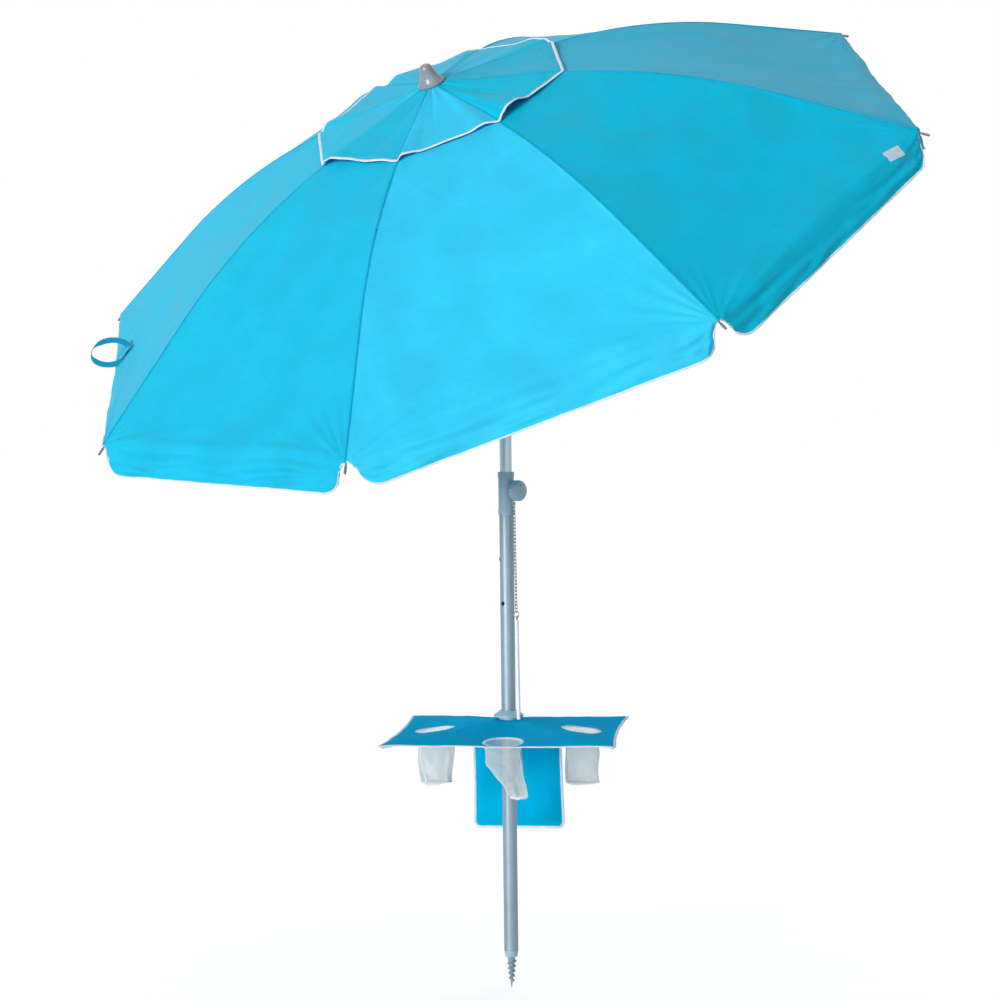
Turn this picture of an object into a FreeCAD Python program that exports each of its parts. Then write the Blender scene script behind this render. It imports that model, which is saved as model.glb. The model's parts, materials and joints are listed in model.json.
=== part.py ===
"""Tilting beach umbrella with a ground screw, a telescopic pole and a small fabric table.

Units are millimetres. The row frame has +Z up the pole, with its origin at the lower end of the
lower tube. X is the axis of the tilt hinge, and the open canopy leans towards -Y. Canopy pieces
are drawn upright about the tilt hinge, with z along the canopy's own axis, and then tilted.
"""
import FreeCAD, Part
import math
import os
import Sketcher
from FreeCAD import Placement, Rotation, Vector

doc = FreeCAD.newDocument("beach_umbrella")

# ---------------------------------------------------------------- driving dimensions
DIMENSIONS = {
    "pole_radius": 16.0,
    "pole_wall": 1.5,
    "pole_length": 1010.0,
    "crimp_height": 118.0,
    "crimp_depth": 0.4,
    "crimp_width": 3.0,
    "lever_hole_height": 781.0,
    "lever_hole_radius": 5.0,
    "rivet_height": 879.5,
    "rivet_radius": 2.0,
    "rivet_angle": 230.0,
    "ferrule_drop": 13.6,
    "ferrule_tip_radius": 13.5,
    "shank_radius": 6.0,
    "shank_length": 20.0,
    "screw_length": 70.0,
    "screw_core_radius": 8.6,
    "screw_tip_radius": 1.2,
    "flight_depth": 4.2,
    "flight_pitch": 11.0,
    "bush_length": 27.0,
    "running_gap": 0.1,
    "clamp_bottom": 978.0,
    "clamp_top": 1074.0,
    "clamp_radius": 17.4,
    "clamp_lip_radius": 18.4,
    "clamp_lip_height": 9.0,
    "knob_height": 1032.4,
    "knob_radius": 23.5,
    "knob_back": 23.0,
    "knob_face": 47.5,
    "bolt_radius": 4.0,
    "boss_radius": 9.0,
    "boss_reach": 24.0,
    "nut_flats": 13.0,
    "nut_thickness": 6.0,
    "eye_reach": 22.8,
    "eye_height": 1003.4,
    "eye_plate": 2.4,
    "link_wire_radius": 0.8,
    "link_bend_radius": 2.5,
    "link_straight": 2.22,
    "link_count": 31,
    "ring_radius": 7.0,
    "ring_wire_radius": 0.9,
    "bar_radius": 4.5,
    "bar_length": 230.4,
    "bar_foot_out": 37.5,
    "bar_foot_side": 10.0,
    "bar_foot_height": 524.0,
    "upper_radius": 13.5,
    "upper_wall": 1.2,
    "upper_foot": 820.0,
    "joint_height": 1538.0,
    "tilt_angle": 32.0,
    "tilt_pin_radius": 3.0,
    "knuckle_radius": 11.0,
    "tongue_width": 12.0,
    "button_radius": 4.5,
    "top_tube_radius": 11.0,
    "top_tube_wall": 1.2,
    "rib_count": 8,
    "rib_phase": 18.0,
    "rib_radius": 2.5,
    "tip_rod_radius": 2.0,
    "tip_cap_radius": 2.7,
    "rib_pivot_radius": 20.0,
    "rib_root_slope": 9.18,
    "rib_tip_slope": 29.83,
    "bend_start": 255.8,
    "bend_end": 718.0,
    "rim_radius": 980.0,
    "rim_height": 85.0,
    "rib_overhang": 12.5,
    "rib_drop": 5.5,
    "ring_distance": 187.0,
    "stretcher_length": 208.5,
    "stretcher_thickness": 3.0,
    "stretcher_side": 5.5,
    "pivot_pin_radius": 1.25,
    "eye_radius": 3.5,
    "closed_angle": 84.8,
    "crown_radius": 26.0,
    "runner_radius": 25.0,
    "fabric_thickness": 1.0,
    "vent_radius": 150.0,
    "cap_radius": 293.0,
    "cap_lift": 3.0,
    "flap_height": 61.0,
    "flap_slope": 60.0,
    "flap_inset": 9.0,
    "flap_corner": 38.0,
    "finial_radius": 30.0,
    "finial_height": 45.0,
    "table_yaw": 33.8,
    "table_half_width": 254.0,
    "table_hub_height": 524.5,
    "table_fall": 30.5,
    "table_edge_sag": 10.0,
    "cup_radius": 40.0,
    "cup_depth": 123.0,
    "cup_side": 164.0,
    "cup_side_forward": 15.0,
    "cup_front_forward": 195.0,
    "cup_front_side": 8.0,
    "mesh_thickness": 1.0,
    "arm_radius": 2.5,
    "pouch_width": 212.0,
    "pouch_depth": 14.0,
    "pouch_bottom": 234.0,
    "pouch_side": -5.0,
    "strap_share": 0.46,
    "strap_radius": 921.0,
    "strap_length": 85.0,
    "strap_opening": 62.0,
    "strap_width": 13.0,
    "strap_thickness": 1.2,
    "label_share": 0.867,
    "label_radius": 972.0,
    "label_length": 46.0,
    "label_width": 26.0,
    "label_turn": 12.0,
}

sheet = doc.addObject("Spreadsheet::Sheet", "dims")
for row, (alias, value) in enumerate(DIMENSIONS.items(), start=1):
    sheet.set("A%d" % row, alias)
    sheet.set("B%d" % row, str(value))
    sheet.setAlias("B%d" % row, alias)
doc.recompute()

PIECES = []


def size(formula):
    """A number from the sheet: an alias, or a formula of aliases written as dims.alias."""
    return float(sheet.get(formula)) if formula in DIMENSIONS else float(sheet.evalExpression(formula))


def keep(piece, node):
    """Mark an object as a finished sub-part and name it after its node."""
    piece.Label = node
    PIECES.append(piece)
    return piece


def shape_piece(node, shape, placement=None):
    """A sub-part whose shape is made with Part's own functions."""
    piece = doc.addObject("Part::Feature", node)
    piece.Shape = shape
    piece.Placement = (placement or Placement()).multiply(shape.Placement)
    return keep(piece, node)


def cylinder(name, radius, height, base=(0.0, 0.0, "0"), direction=Vector(0, 0, 1)):
    """A Part cylinder bound to the sheet; base is x, y in numbers and z as a formula."""
    rod = doc.addObject("Part::Cylinder", name)
    rod.setExpression("Radius", radius)
    rod.setExpression("Height", height)
    turn = Rotation(Vector(0, 0, 1), direction)
    rod.Placement = Placement(Vector(base[0], base[1], 0), turn)
    rod.setExpression("Placement.Base.z", base[2])
    return rod


def cut(name, base, tool):
    result = doc.addObject("Part::Cut", name)
    result.Base = base
    result.Tool = tool
    return result


def lathe(name, outline):
    """A PartDesign body turned about Z from (radius, height) formulas of the outline's corners."""
    body = doc.addObject("PartDesign::Body", name)
    plane = [o for o in body.Origin.OriginFeatures if o.Role == "XZ_Plane"][0]
    sketch = body.newObject("Sketcher::SketchObject", name + "_section")
    sketch.AttachmentSupport = [(plane, "")]
    sketch.MapMode = "FlatFace"
    corners = [Vector(size(r), size(h), 0) for r, h in outline]
    count = len(corners)
    for i in range(count):
        sketch.addGeometry(Part.LineSegment(corners[i], corners[(i + 1) % count]), False)
    for i, (radius, height) in enumerate(outline):
        sketch.addConstraint(Sketcher.Constraint("Coincident", i, 1, (i - 1) % count, 2))
        across = sketch.addConstraint(Sketcher.Constraint("DistanceX", -1, 1, i, 1, corners[i].x))
        sketch.setExpression("Constraints[%d]" % across, radius)
        up = sketch.addConstraint(Sketcher.Constraint("DistanceY", -1, 1, i, 1, corners[i].y))
        sketch.setExpression("Constraints[%d]" % up, height)
    turned = body.newObject("PartDesign::Revolution", name + "_turned")
    turned.Profile = sketch
    turned.ReferenceAxis = (sketch, ["V_Axis"])
    turned.Angle = 360.0
    body.Tip = turned
    return body


def drill(shape, centre, direction, radius, reach):
    """Cut a round hole through a shape, reaching the same way to both sides of its centre."""
    start = centre - direction * reach
    return shape.cut(Part.makeCylinder(radius, 2 * reach, start, direction))


def bar(length, width, height, centre):
    """A box centred on a point, with its length along X."""
    corner = centre - Vector(length / 2, width / 2, height / 2)
    return Part.makeBox(length, width, height, corner)


def sweep_round(edges, radius):
    """A round rod along a path of tangent edges."""
    path = Part.Wire(edges)
    start = edges[0].valueAt(edges[0].FirstParameter)
    along = edges[0].tangentAt(edges[0].FirstParameter)
    section = Part.Wire([Part.makeCircle(radius, start, along)])
    return path.makePipeShell([section], True, True)


X_AXIS = Vector(1, 0, 0)
Y_AXIS = Vector(0, 1, 0)
Z_AXIS = Vector(0, 0, 1)
CANOPY = Placement(Vector(0, 0, size("joint_height")), Rotation(X_AXIS, size("tilt_angle")))
TABLE = Placement(Vector(0, 0, 0), Rotation(Z_AXIS, size("table_yaw")))


# ---------------------------------------------------------------- lower pole and ground screw
def make_lower_pole():
    inside = "dims.pole_radius - dims.pole_wall"
    groove_end = "dims.crimp_height + dims.crimp_width"
    tube = lathe("lower_tube", [
        (inside, "0"),
        ("dims.pole_radius", "0"),
        ("dims.pole_radius", "dims.crimp_height"),
        ("dims.pole_radius - dims.crimp_depth", "dims.crimp_height"),
        ("dims.pole_radius - dims.crimp_depth", groove_end),
        ("dims.pole_radius", groove_end),
        ("dims.pole_radius", "dims.pole_length"),
        (inside, "dims.pole_length"),
    ])
    lever = cylinder("lever_drill", "dims.lever_hole_radius", "dims.pole_radius * 4",
                     (0, -2 * size("pole_radius"), "dims.lever_hole_height"), Y_AXIS)
    drilled = cut("lower_tube_lever", tube, lever)
    out = Rotation(Z_AXIS, size("rivet_angle")).multVec(X_AXIS)
    rivet = cylinder("rivet_drill", "dims.rivet_radius", "dims.pole_radius * 2",
                     (0, 0, "dims.rivet_height"), out)
    keep(cut("lower_pole", drilled, rivet), "lower_pole")


def make_pole_ferrule():
    plug = "dims.pole_radius - dims.pole_wall"
    keep(lathe("pole_ferrule", [
        ("dims.shank_radius", "-dims.ferrule_drop"),
        ("dims.ferrule_tip_radius", "-dims.ferrule_drop"),
        ("dims.pole_radius", "0"),
        (plug, "0"),
        (plug, "dims.crimp_height"),
        ("0", "dims.crimp_height"),
        ("0", "dims.shank_length"),
        ("dims.shank_radius", "dims.shank_length"),
    ]), "pole_ferrule")


def make_ground_screw():
    """A tapered core with one helical flight that runs out before the point."""
    top = -size("ferrule_drop")
    length = size("screw_length")
    core_top = size("screw_core_radius")
    core_tip = size("screw_tip_radius")
    depth = size("flight_depth")
    pitch = size("flight_pitch")
    shank = Part.makeCylinder(size("shank_radius"), size("shank_length") - top, Vector(0, 0, top))
    core = Part.makeCone(core_tip, core_top, length, Vector(0, 0, top - length))
    taper = math.degrees(math.atan((core_top - core_tip) / length))
    run_out = 0.5 * pitch
    flight_length = length - 2 * pitch
    foot = top - length + 1.3 * pitch
    start_radius = core_tip + (foot - (top - length)) * math.tan(math.radians(taper))
    path = Part.makeHelix(pitch, flight_length, start_radius, taper)
    root = 0.28 * pitch
    lip = 0.06 * pitch
    section = Part.makePolygon([
        Vector(start_radius - run_out / pitch, 0, -root),
        Vector(start_radius + depth, 0, -lip),
        Vector(start_radius + depth, 0, lip),
        Vector(start_radius - run_out / pitch, 0, root),
        Vector(start_radius - run_out / pitch, 0, -root),
    ])
    flight = Part.Wire(path.Edges).makePipeShell([section], True, True)
    flight.translate(Vector(0, 0, foot))
    shape_piece("ground_screw", shank.fuse(core).fuse(flight).removeSplitter())


def make_guide_bush():
    """The nylon bush riveted inside the lower tube, which also stops the glide below it."""
    low = "dims.rivet_height - dims.bush_length / 2"
    high = "dims.rivet_height + dims.bush_length / 2"
    keep(lathe("guide_bush", [
        ("dims.upper_radius + dims.running_gap", low),
        ("dims.pole_radius - dims.pole_wall", low),
        ("dims.pole_radius - dims.pole_wall", high),
        ("dims.upper_radius + dims.running_gap", high),
    ]), "guide_bush")
    out = Rotation(Z_AXIS, size("rivet_angle")).multVec(X_AXIS)
    inner = size("pole_radius") - size("pole_wall")
    outer = size("pole_radius")
    seat = Vector(0, 0, size("rivet_height"))
    rivet = Part.makeCylinder(size("rivet_radius"), outer - inner + 1.2, seat + out * inner, out)
    head = Part.makeCylinder(3.3, 3.0, seat + out * (outer - 1.6), out)
    tube = Part.makeCylinder(outer, 40, seat - Z_AXIS * 20)
    shape_piece("bush_rivet", rivet.fuse(head.cut(tube)))


# ---------------------------------------------------------------- height clamp, chain and lever bar
def make_clamp():
    bottom = "dims.clamp_bottom"
    top = "dims.clamp_top"
    waist = "dims.clamp_radius"
    lip = "dims.clamp_lip_radius"
    bore = "dims.upper_radius + dims.running_gap"
    body = lathe("clamp_body", [
        ("dims.pole_radius", bottom),
        (lip, bottom),
        (lip, "dims.clamp_bottom + dims.clamp_lip_height"),
        (waist, "dims.clamp_bottom + dims.clamp_lip_height * 2"),
        (waist, "dims.clamp_top - dims.clamp_lip_height * 2"),
        (lip, "dims.clamp_top - dims.clamp_lip_height"),
        (lip, top),
        (bore, top),
        (bore, "dims.pole_length"),
        ("dims.pole_radius", "dims.pole_length"),
    ])
    doc.recompute()
    seat = Vector(0, 0, size("knob_height"))
    bore_radius = size("upper_radius") + size("running_gap")
    boss = Part.makeCylinder(size("boss_radius"), size("boss_reach"), seat, X_AXIS)
    boss = boss.cut(Part.makeCylinder(bore_radius, 60, seat - Z_AXIS * 30))
    lug_width = size("eye_reach") + 3.4 - size("clamp_radius") + 1.0
    lug_centre = Vector(size("clamp_radius") - 1.0 + lug_width / 2, 0, size("eye_height") + 0.3)
    lug = bar(lug_width, size("eye_plate"), 7.4, lug_centre)
    eye = Vector(size("eye_reach"), 0, size("eye_height"))
    lug = drill(lug, eye, Y_AXIS, 2.0, 5.0)
    shape = body.Shape.fuse(boss).fuse(lug)
    nut_corner = size("nut_flats") / 2 / math.cos(math.pi / 6)
    nut_start = size("boss_reach") - size("nut_thickness")
    ring = [Vector(nut_start, nut_corner * math.cos(math.pi * i / 3), nut_corner * math.sin(math.pi * i / 3))
            for i in range(7)]
    nut = Part.Face(Part.makePolygon(ring)).extrude(Vector(size("nut_thickness"), 0, 0))
    nut.translate(seat)
    shape = shape.cut(nut)
    thread_gap = 0.06
    shape = drill(shape, seat + X_AXIS * 20, X_AXIS, size("bolt_radius") + 5 * thread_gap, 10.0)
    shape_piece("clamp_collar", shape.removeSplitter())
    nut = drill(nut, seat + X_AXIS * 20, X_AXIS, size("bolt_radius") + thread_gap, 10.0)
    shape_piece("clamp_nut", nut)


def spun(outline, base, direction):
    """Turn (radius, distance) corners about an axis through a base point."""
    corners = [Vector(radius, 0, along) for radius, along in outline]
    face = Part.Face(Part.makePolygon(corners + [corners[0]]))
    turned = face.revolve(Vector(0, 0, 0), Z_AXIS, 360)
    return Part.makeCompound([turned]).transformed(
        Placement(base, Rotation(Z_AXIS, direction)).toMatrix()).Solids[0]


def make_knob():
    seat = Vector(0, 0, size("knob_height"))
    outer = size("knob_radius")
    back = size("knob_back")
    face = size("knob_face")
    grip = spun([(0, size("boss_reach") + 0.3), (9.8, size("boss_reach") + 0.3), (9.8, back),
                 (outer - 3.0, back), (outer, back + 3.0), (outer, face - 10.5), (outer - 1.0, face - 7.0),
                 (outer - 3.5, face - 3.6), (outer - 8.0, face - 1.2), (outer - 13.0, face), (0, face)],
                seat, X_AXIS)
    scallops = 12
    for i in range(scallops):
        turn = Rotation(X_AXIS, 360.0 * i / scallops)
        side = turn.multVec(Y_AXIS) * (outer + 3.2)
        grip = grip.cut(Part.makeCylinder(4.2, face - back + 2, seat + side + X_AXIS * (back - 1), X_AXIS))
    bolt_end = back + 8.0
    grip = drill(grip, seat + X_AXIS * (bolt_end - 10.0), X_AXIS, size("bolt_radius"), 10.0)
    shape_piece("clamp_knob", grip)
    start = size("upper_radius") + 0.4
    bolt = Part.makeCylinder(size("bolt_radius"), bolt_end - start, seat + X_AXIS * start, X_AXIS)
    shape_piece("clamp_bolt", bolt)


def hang_frame():
    """The chain's top point, its hanging direction and the two directions across it."""
    top = Vector(size("eye_reach"), 0, size("eye_height"))
    foot = Vector(size("bar_foot_out"), -size("bar_foot_side"), size("bar_foot_height"))
    down = (foot - top).normalize()
    flat = (Y_AXIS - down * Y_AXIS.dot(down)).normalize()
    return top, foot, down, flat, down.cross(flat)


def chain_link(centre, along, across):
    """One oval link of round wire."""
    half = size("link_straight")
    bend = size("link_bend_radius")
    corner = [centre + along * (a * half) + across * (b * bend)
              for a, b in ((1, 1), (1, -1), (-1, -1), (-1, 1))]
    ends = [centre + along * (half + bend), centre - along * (half + bend)]
    edges = [Part.LineSegment(corner[3], corner[0]).toShape(),
             Part.Arc(corner[0], ends[0], corner[1]).toShape(),
             Part.LineSegment(corner[1], corner[2]).toShape(),
             Part.Arc(corner[2], ends[1], corner[3]).toShape()]
    return sweep_round(edges, size("link_wire_radius"))


def make_chain():
    top, foot, down, flat, side = hang_frame()
    half = size("link_straight") + size("link_bend_radius")
    wire = size("link_wire_radius")
    slack = 0.1
    pitch = 2 * half - 2 * wire - slack
    count = int(size("link_count"))
    links = [chain_link(top + down * (half + pitch * i), down, side if i % 2 else flat)
             for i in range(count)]
    shape_piece("chain", Part.makeCompound(links))
    chain_end = half * 2 + pitch * (count - 1)
    ring_wire = size("ring_wire_radius")
    ring_top = chain_end - wire - ring_wire - slack
    ring_centre = top + down * (ring_top + size("ring_radius"))
    ring = Part.makeTorus(size("ring_radius"), ring_wire)
    turn = Rotation(Z_AXIS, flat)
    shape_piece("bar_ring", ring, Placement(ring_centre, turn))
    return ring_centre + down * size("ring_radius")


def make_lever_bar(eye):
    top, foot, down, flat, side = hang_frame()
    radius = size("bar_radius")
    length = size("bar_length")
    rod = Part.makeCylinder(radius, length, foot - down * length, down)
    rod = rod.common(Part.makeSphere(length - 12.0, foot - down * 13.0))
    eye_length = (foot - eye).dot(down)
    flat_half = 1.5
    shoulder = 5.0
    reach = length - eye_length + shoulder
    for sign in (-1, 1):
        start = foot - down * (length + 1.0) + side * (sign * (flat_half + 5.0))
        turn = Placement(start, Rotation(side, flat, down, "ZXY"))
        block = bar(10.0, 12.0, 2 * reach + 2.0, Vector(0, 0, 0))
        rod = rod.cut(block.transformed(turn.toMatrix()))
    shape_piece("lever_bar", drill(rod, eye, side, 1.4, 6.0))


# ---------------------------------------------------------------- upper pole and tilt joint
def make_upper_pole():
    bore = "dims.upper_radius - dims.upper_wall"
    joint = "dims.joint_height - 42"
    keep(lathe("upper_pole", [
        (bore, "dims.upper_foot"),
        ("dims.upper_radius", "dims.upper_foot"),
        ("dims.upper_radius", joint),
        (bore, joint),
    ]), "upper_pole")
    slide = "dims.pole_radius - dims.pole_wall - dims.running_gap * 0.8"
    keep(lathe("pole_glide", [
        ("dims.upper_radius", "dims.upper_foot"),
        (bore, "dims.upper_foot"),
        (bore, "dims.upper_foot - 8"),
        (slide, "dims.upper_foot - 8"),
        (slide, "dims.upper_foot + 15"),
        ("dims.upper_radius", "dims.upper_foot + 15"),
    ]), "pole_glide")


def make_tilt_lower():
    """The plug in the upper tube, with one flat tongue that carries the tilt pin."""
    centre = Vector(0, 0, size("joint_height"))
    plug_radius = size("upper_radius") - size("upper_wall")
    collar = Part.makeCylinder(size("upper_radius"), 29, centre - Z_AXIS * 42)
    plug = Part.makeCylinder(plug_radius, 50, centre - Z_AXIS * 92)
    width = size("tongue_width")
    knuckle = size("knuckle_radius")
    tongue = Part.makeCylinder(knuckle, width, centre - X_AXIS * (width / 2), X_AXIS)
    web = bar(width, 2 * knuckle, 20.0, centre - Z_AXIS * 10)
    shape = collar.fuse([plug, tongue, web]).removeSplitter()
    shape = drill(shape, centre, X_AXIS, size("tilt_pin_radius") + 0.05, 20.0)
    bore = Part.makeCylinder(size("button_radius") + 0.1, 20, centre - Z_AXIS * 28, X_AXIS)
    shape_piece("tilt_lower", shape.cut(bore))


def make_tilt_button():
    centre = Vector(0, 0, size("joint_height") - 28)
    edge = 1.0
    reach = size("upper_radius") + 3.0
    shape_piece("tilt_button", spun([
        (0, 3.4), (size("button_radius"), 3.4), (size("button_radius"), reach - edge),
        (size("button_radius") - edge, reach), (0, reach)], centre, X_AXIS))


def make_tilt_upper():
    """The fork over the tongue, with a socket for the canopy's own tube."""
    gap = size("tongue_width") / 2 + 0.4
    side = 12.5
    knuckle = size("knuckle_radius")
    ears = []
    for start in (gap, -side):
        ear = Part.makeCylinder(knuckle, side - gap, X_AXIS * start, X_AXIS)
        web = bar(side - gap, 2 * knuckle, 16.0, Vector(start + (side - gap) / 2, 0, 8.0))
        ears.append(ear.fuse(web))
    socket_top = 31.0
    socket = Part.makeCylinder(size("upper_radius"), socket_top - 12.5, Z_AXIS * 12.5)
    bore = Part.makeCylinder(size("top_tube_radius"), 30, Z_AXIS * 14)
    rod = Part.makeCylinder(size("upper_radius"), 40, Z_AXIS * -10)
    shape = socket.fuse([ear.common(rod) for ear in ears]).cut(bore).removeSplitter()
    pin_radius = size("tilt_pin_radius")
    shape_piece("tilt_upper", drill(shape, Vector(0, 0, 0), X_AXIS, pin_radius, 30.0), CANOPY)
    head = 4.6
    pin = Part.makeCylinder(pin_radius, 2 * side, X_AXIS * -side, X_AXIS)
    for way in (1, -1):
        pin = pin.fuse(Part.makeCone(head, head - 1.2, 1.4, X_AXIS * (side * way), X_AXIS * way))
    shape_piece("tilt_pin", pin, CANOPY)


# ---------------------------------------------------------------- canopy profile and its frame
def fabric_height(radius):
    """Height of the fabric's outer face over a rib, above the tilt hinge."""
    bend = (size("bend_end") - size("bend_start")) / (sine("rib_tip_slope") - sine("rib_root_slope"))
    height = size("rim_height") + (size("rim_radius") - size("bend_end")) * tangent("rib_tip_slope")
    if radius >= size("bend_end"):
        return height - (radius - size("bend_end")) * tangent("rib_tip_slope")
    turn = sine("rib_tip_slope") - (size("bend_end") - max(radius, size("bend_start"))) / bend
    height += bend * (math.sqrt(1 - turn ** 2) - math.cos(math.radians(size("rib_tip_slope"))))
    return height + max(0.0, size("bend_start") - radius) * tangent("rib_root_slope")


def sine(alias):
    return math.sin(math.radians(size(alias)))


def tangent(alias):
    return math.tan(math.radians(size(alias)))


def profile_edges(start, end, lift):
    """The rib line between two radii, raised by a lift, in the plane of a rib along X."""
    stops = [size("bend_start"), size("bend_end")]
    marks = [start] + [stop for stop in stops if start < stop < end] + [end]
    edges = []
    for a, b in zip(marks[:-1], marks[1:]):
        points = [Vector(r, 0, fabric_height(r) + lift) for r in (a, (a + b) / 2, b)]
        if a >= stops[0] and b <= stops[1]:
            edges.append(Part.Arc(*points).toShape())
        else:
            edges.append(Part.LineSegment(points[0], points[2]).toShape())
    return edges


def about_axis(shape, angle):
    return shape.transformed(Placement(Vector(0, 0, 0), Rotation(Z_AXIS, angle)).toMatrix())


def rib_angles():
    count = int(size("rib_count"))
    return [size("rib_phase") + 360.0 / count * i for i in range(count)]


def make_gores(start, end, lift):
    """The fabric between the ribs: each gore is straight across between two neighbouring ribs."""
    step = 360.0 / size("rib_count")
    thick = size("fabric_thickness")
    outer = profile_edges(start, end, lift)
    inner = profile_edges(start, end, lift - thick)
    ends = [Part.LineSegment(outer[i].Vertexes[i].Point, inner[i].Vertexes[i].Point).toShape()
            for i in (0, -1)]
    band = Part.Face(Part.Wire(Part.__sortEdges__(outer + inner + ends)))
    turn = math.radians(90 + step / 2)
    across = Vector(math.cos(turn), math.sin(turn), 0) * (2.2 * end * math.sin(math.radians(step / 2)))
    far_side = Part.makeBox(3 * end, 3 * end, 2000, Vector(-end, -3 * end, -1000))
    gore = band.extrude(across).common(about_axis(far_side, step))
    return [about_axis(gore, angle) for angle in rib_angles()]


def make_flap():
    """One valance panel hanging from the rim between two ribs."""
    half_step = math.radians(180.0 / size("rib_count"))
    half = size("rim_radius") * math.sin(half_step) - size("flap_inset")
    height = size("flap_height")
    corner = size("flap_corner")
    bow = corner * (1 - math.sqrt(0.5))
    points = [Vector(0, half, 0), Vector(0, -half, 0), Vector(0, -half, corner - height),
              Vector(0, bow - half, bow - height), Vector(0, corner - half, -height),
              Vector(0, half - corner, -height), Vector(0, half - bow, bow - height),
              Vector(0, half, corner - height)]
    edges = [Part.LineSegment(points[0], points[1]).toShape(),
             Part.LineSegment(points[1], points[2]).toShape(),
             Part.Arc(points[2], points[3], points[4]).toShape(),
             Part.LineSegment(points[4], points[5]).toShape(),
             Part.Arc(points[5], points[6], points[7]).toShape(),
             Part.LineSegment(points[7], points[0]).toShape()]
    plate = Part.Face(Part.Wire(edges)).extrude(Vector(-0.8 * size("fabric_thickness"), 0, 0))
    hinge = Vector(size("rim_radius") * math.cos(half_step), 0, size("rim_height"))
    lean = Rotation(Y_AXIS, size("flap_slope") - 90)
    plate = plate.transformed(Placement(hinge, lean).toMatrix())
    return about_axis(plate, math.degrees(half_step))


def make_canopy():
    gores = make_gores(size("vent_radius"), size("rim_radius"), 0.0)
    flaps = [about_axis(make_flap(), angle) for angle in rib_angles()]
    shape_piece("canopy", gores[0].fuse(gores[1:] + flaps), CANOPY)
    cap = make_gores(size("finial_radius") / 3, size("cap_radius"), size("cap_lift"))
    shape = cap[0].fuse(cap[1:])
    shape_piece("vent_cap", drill(shape, Vector(0, 0, 0), Z_AXIS, 18.0, 1000.0), CANOPY)


def make_finial():
    base = fabric_height(size("finial_radius")) + size("cap_lift") + 2.2
    outer = size("finial_radius")
    height = size("finial_height")
    top_radius = 0.42 * outer
    shell = spun([
        (0, 0), (outer, 0), (outer, 3), (outer - 4.5, 8), (outer - 10, 0.38 * height),
        (outer - 13.5, 0.6 * height), (top_radius + 1.6, 0.82 * height),
        (top_radius - 0.6, 0.92 * height), (top_radius - 5, 0.985 * height), (0, height)],
        Z_AXIS * base, Z_AXIS)
    shape_piece("finial", shell, CANOPY)


def make_top_tube():
    bore = "dims.top_tube_radius - dims.top_tube_wall"
    tube = lathe("top_tube", [
        (bore, "14"),
        ("dims.top_tube_radius", "14"),
        ("dims.top_tube_radius", "439"),
        (bore, "439"),
    ])
    tube.Placement = CANOPY
    keep(tube, "top_tube")


def about_ribs(make_one):
    """The same small tool shape at every rib."""
    return [about_axis(make_one, angle) for angle in rib_angles()]


def crown_height():
    return fabric_height(size("rib_pivot_radius")) - size("rib_drop")


def linkage():
    """Where the clip of an open rib sits, and how far the open runner hangs below the crown."""
    reach = size("ring_distance")
    slope = math.radians(size("rib_root_slope"))
    clip = Vector(size("rib_pivot_radius") + reach * math.cos(slope), 0,
                  crown_height() - reach * math.sin(slope))
    rise = math.sqrt(size("stretcher_length") ** 2 - (reach * math.cos(slope)) ** 2)
    return clip, clip.z - rise


def make_crown():
    height = crown_height()
    radius = size("crown_radius")
    hub = Part.makeCylinder(radius, 14, Z_AXIS * (height - 8))
    hub = hub.cut(Part.makeCylinder(size("top_tube_radius"), 40, Z_AXIS * (height - 20)))
    slot = bar(20.0, 5.6, 14.2, Vector(25.8, 0, height - 2.9))
    hub = hub.cut(about_ribs(slot))
    pivot = Vector(size("rib_pivot_radius"), -3.4, height)
    pin = Part.makeCylinder(size("pivot_pin_radius"), 6.8, pivot, Y_AXIS)
    shape_piece("crown", hub.fuse(about_ribs(pin)), CANOPY)


def make_runner():
    clip, height = linkage()
    side = size("stretcher_side")
    flange = Part.makeCylinder(size("runner_radius"), 14, Z_AXIS * (height - 7))
    sleeve = Part.makeCylinder(14.5, 42, Z_AXIS * height)
    slot = bar(20.0, 3.6, 12.4, Vector(25.8, side, height + 2.0))
    out = Rotation(Z_AXIS, size("rib_phase") - 180.0 / size("rib_count")).multVec(X_AXIS)
    seat = Z_AXIS * (height + 30)
    boss = Part.makeCylinder(5.6, 16.5, seat, out)
    shape = flange.cut(about_ribs(slot)).fuse([sleeve, boss])
    shape = shape.cut(Part.makeCylinder(size("top_tube_radius") + size("running_gap"), 80,
                                        Z_AXIS * (height - 20)))
    shape = shape.cut(Part.makeCylinder(3.6, 20, seat + out * 5, out))
    pivot = Vector(size("rib_pivot_radius"), side - 2.4, height)
    pin = Part.makeCylinder(size("pivot_pin_radius"), 4.8, pivot, Y_AXIS)
    shape_piece("runner", shape.fuse(about_ribs(pin)), CANOPY)
    button = spun([(0, 14.4), (3.5, 14.4), (3.5, 18.4), (2.7, 19.2), (0, 19.2)], seat, out)
    shape_piece("runner_button", button, CANOPY)


# ---------------------------------------------------------------- ribs, rib tips and stretchers
def slope_at(radius):
    """The rib's direction at a radius, pointing outward."""
    step = 0.01
    return Vector(2 * step, 0, fabric_height(radius + step) - fabric_height(radius - step)).normalize()


def knuckle_radius():
    """Radius from the canopy axis to the pin where an inner rib meets its tip rod."""
    bend = (size("bend_end") - size("bend_start")) / (sine("rib_tip_slope") - sine("rib_root_slope"))
    middle = math.radians((size("rib_tip_slope") + size("rib_root_slope")) / 2)
    return size("bend_start") + bend * (math.sin(middle) - sine("rib_root_slope"))


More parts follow.
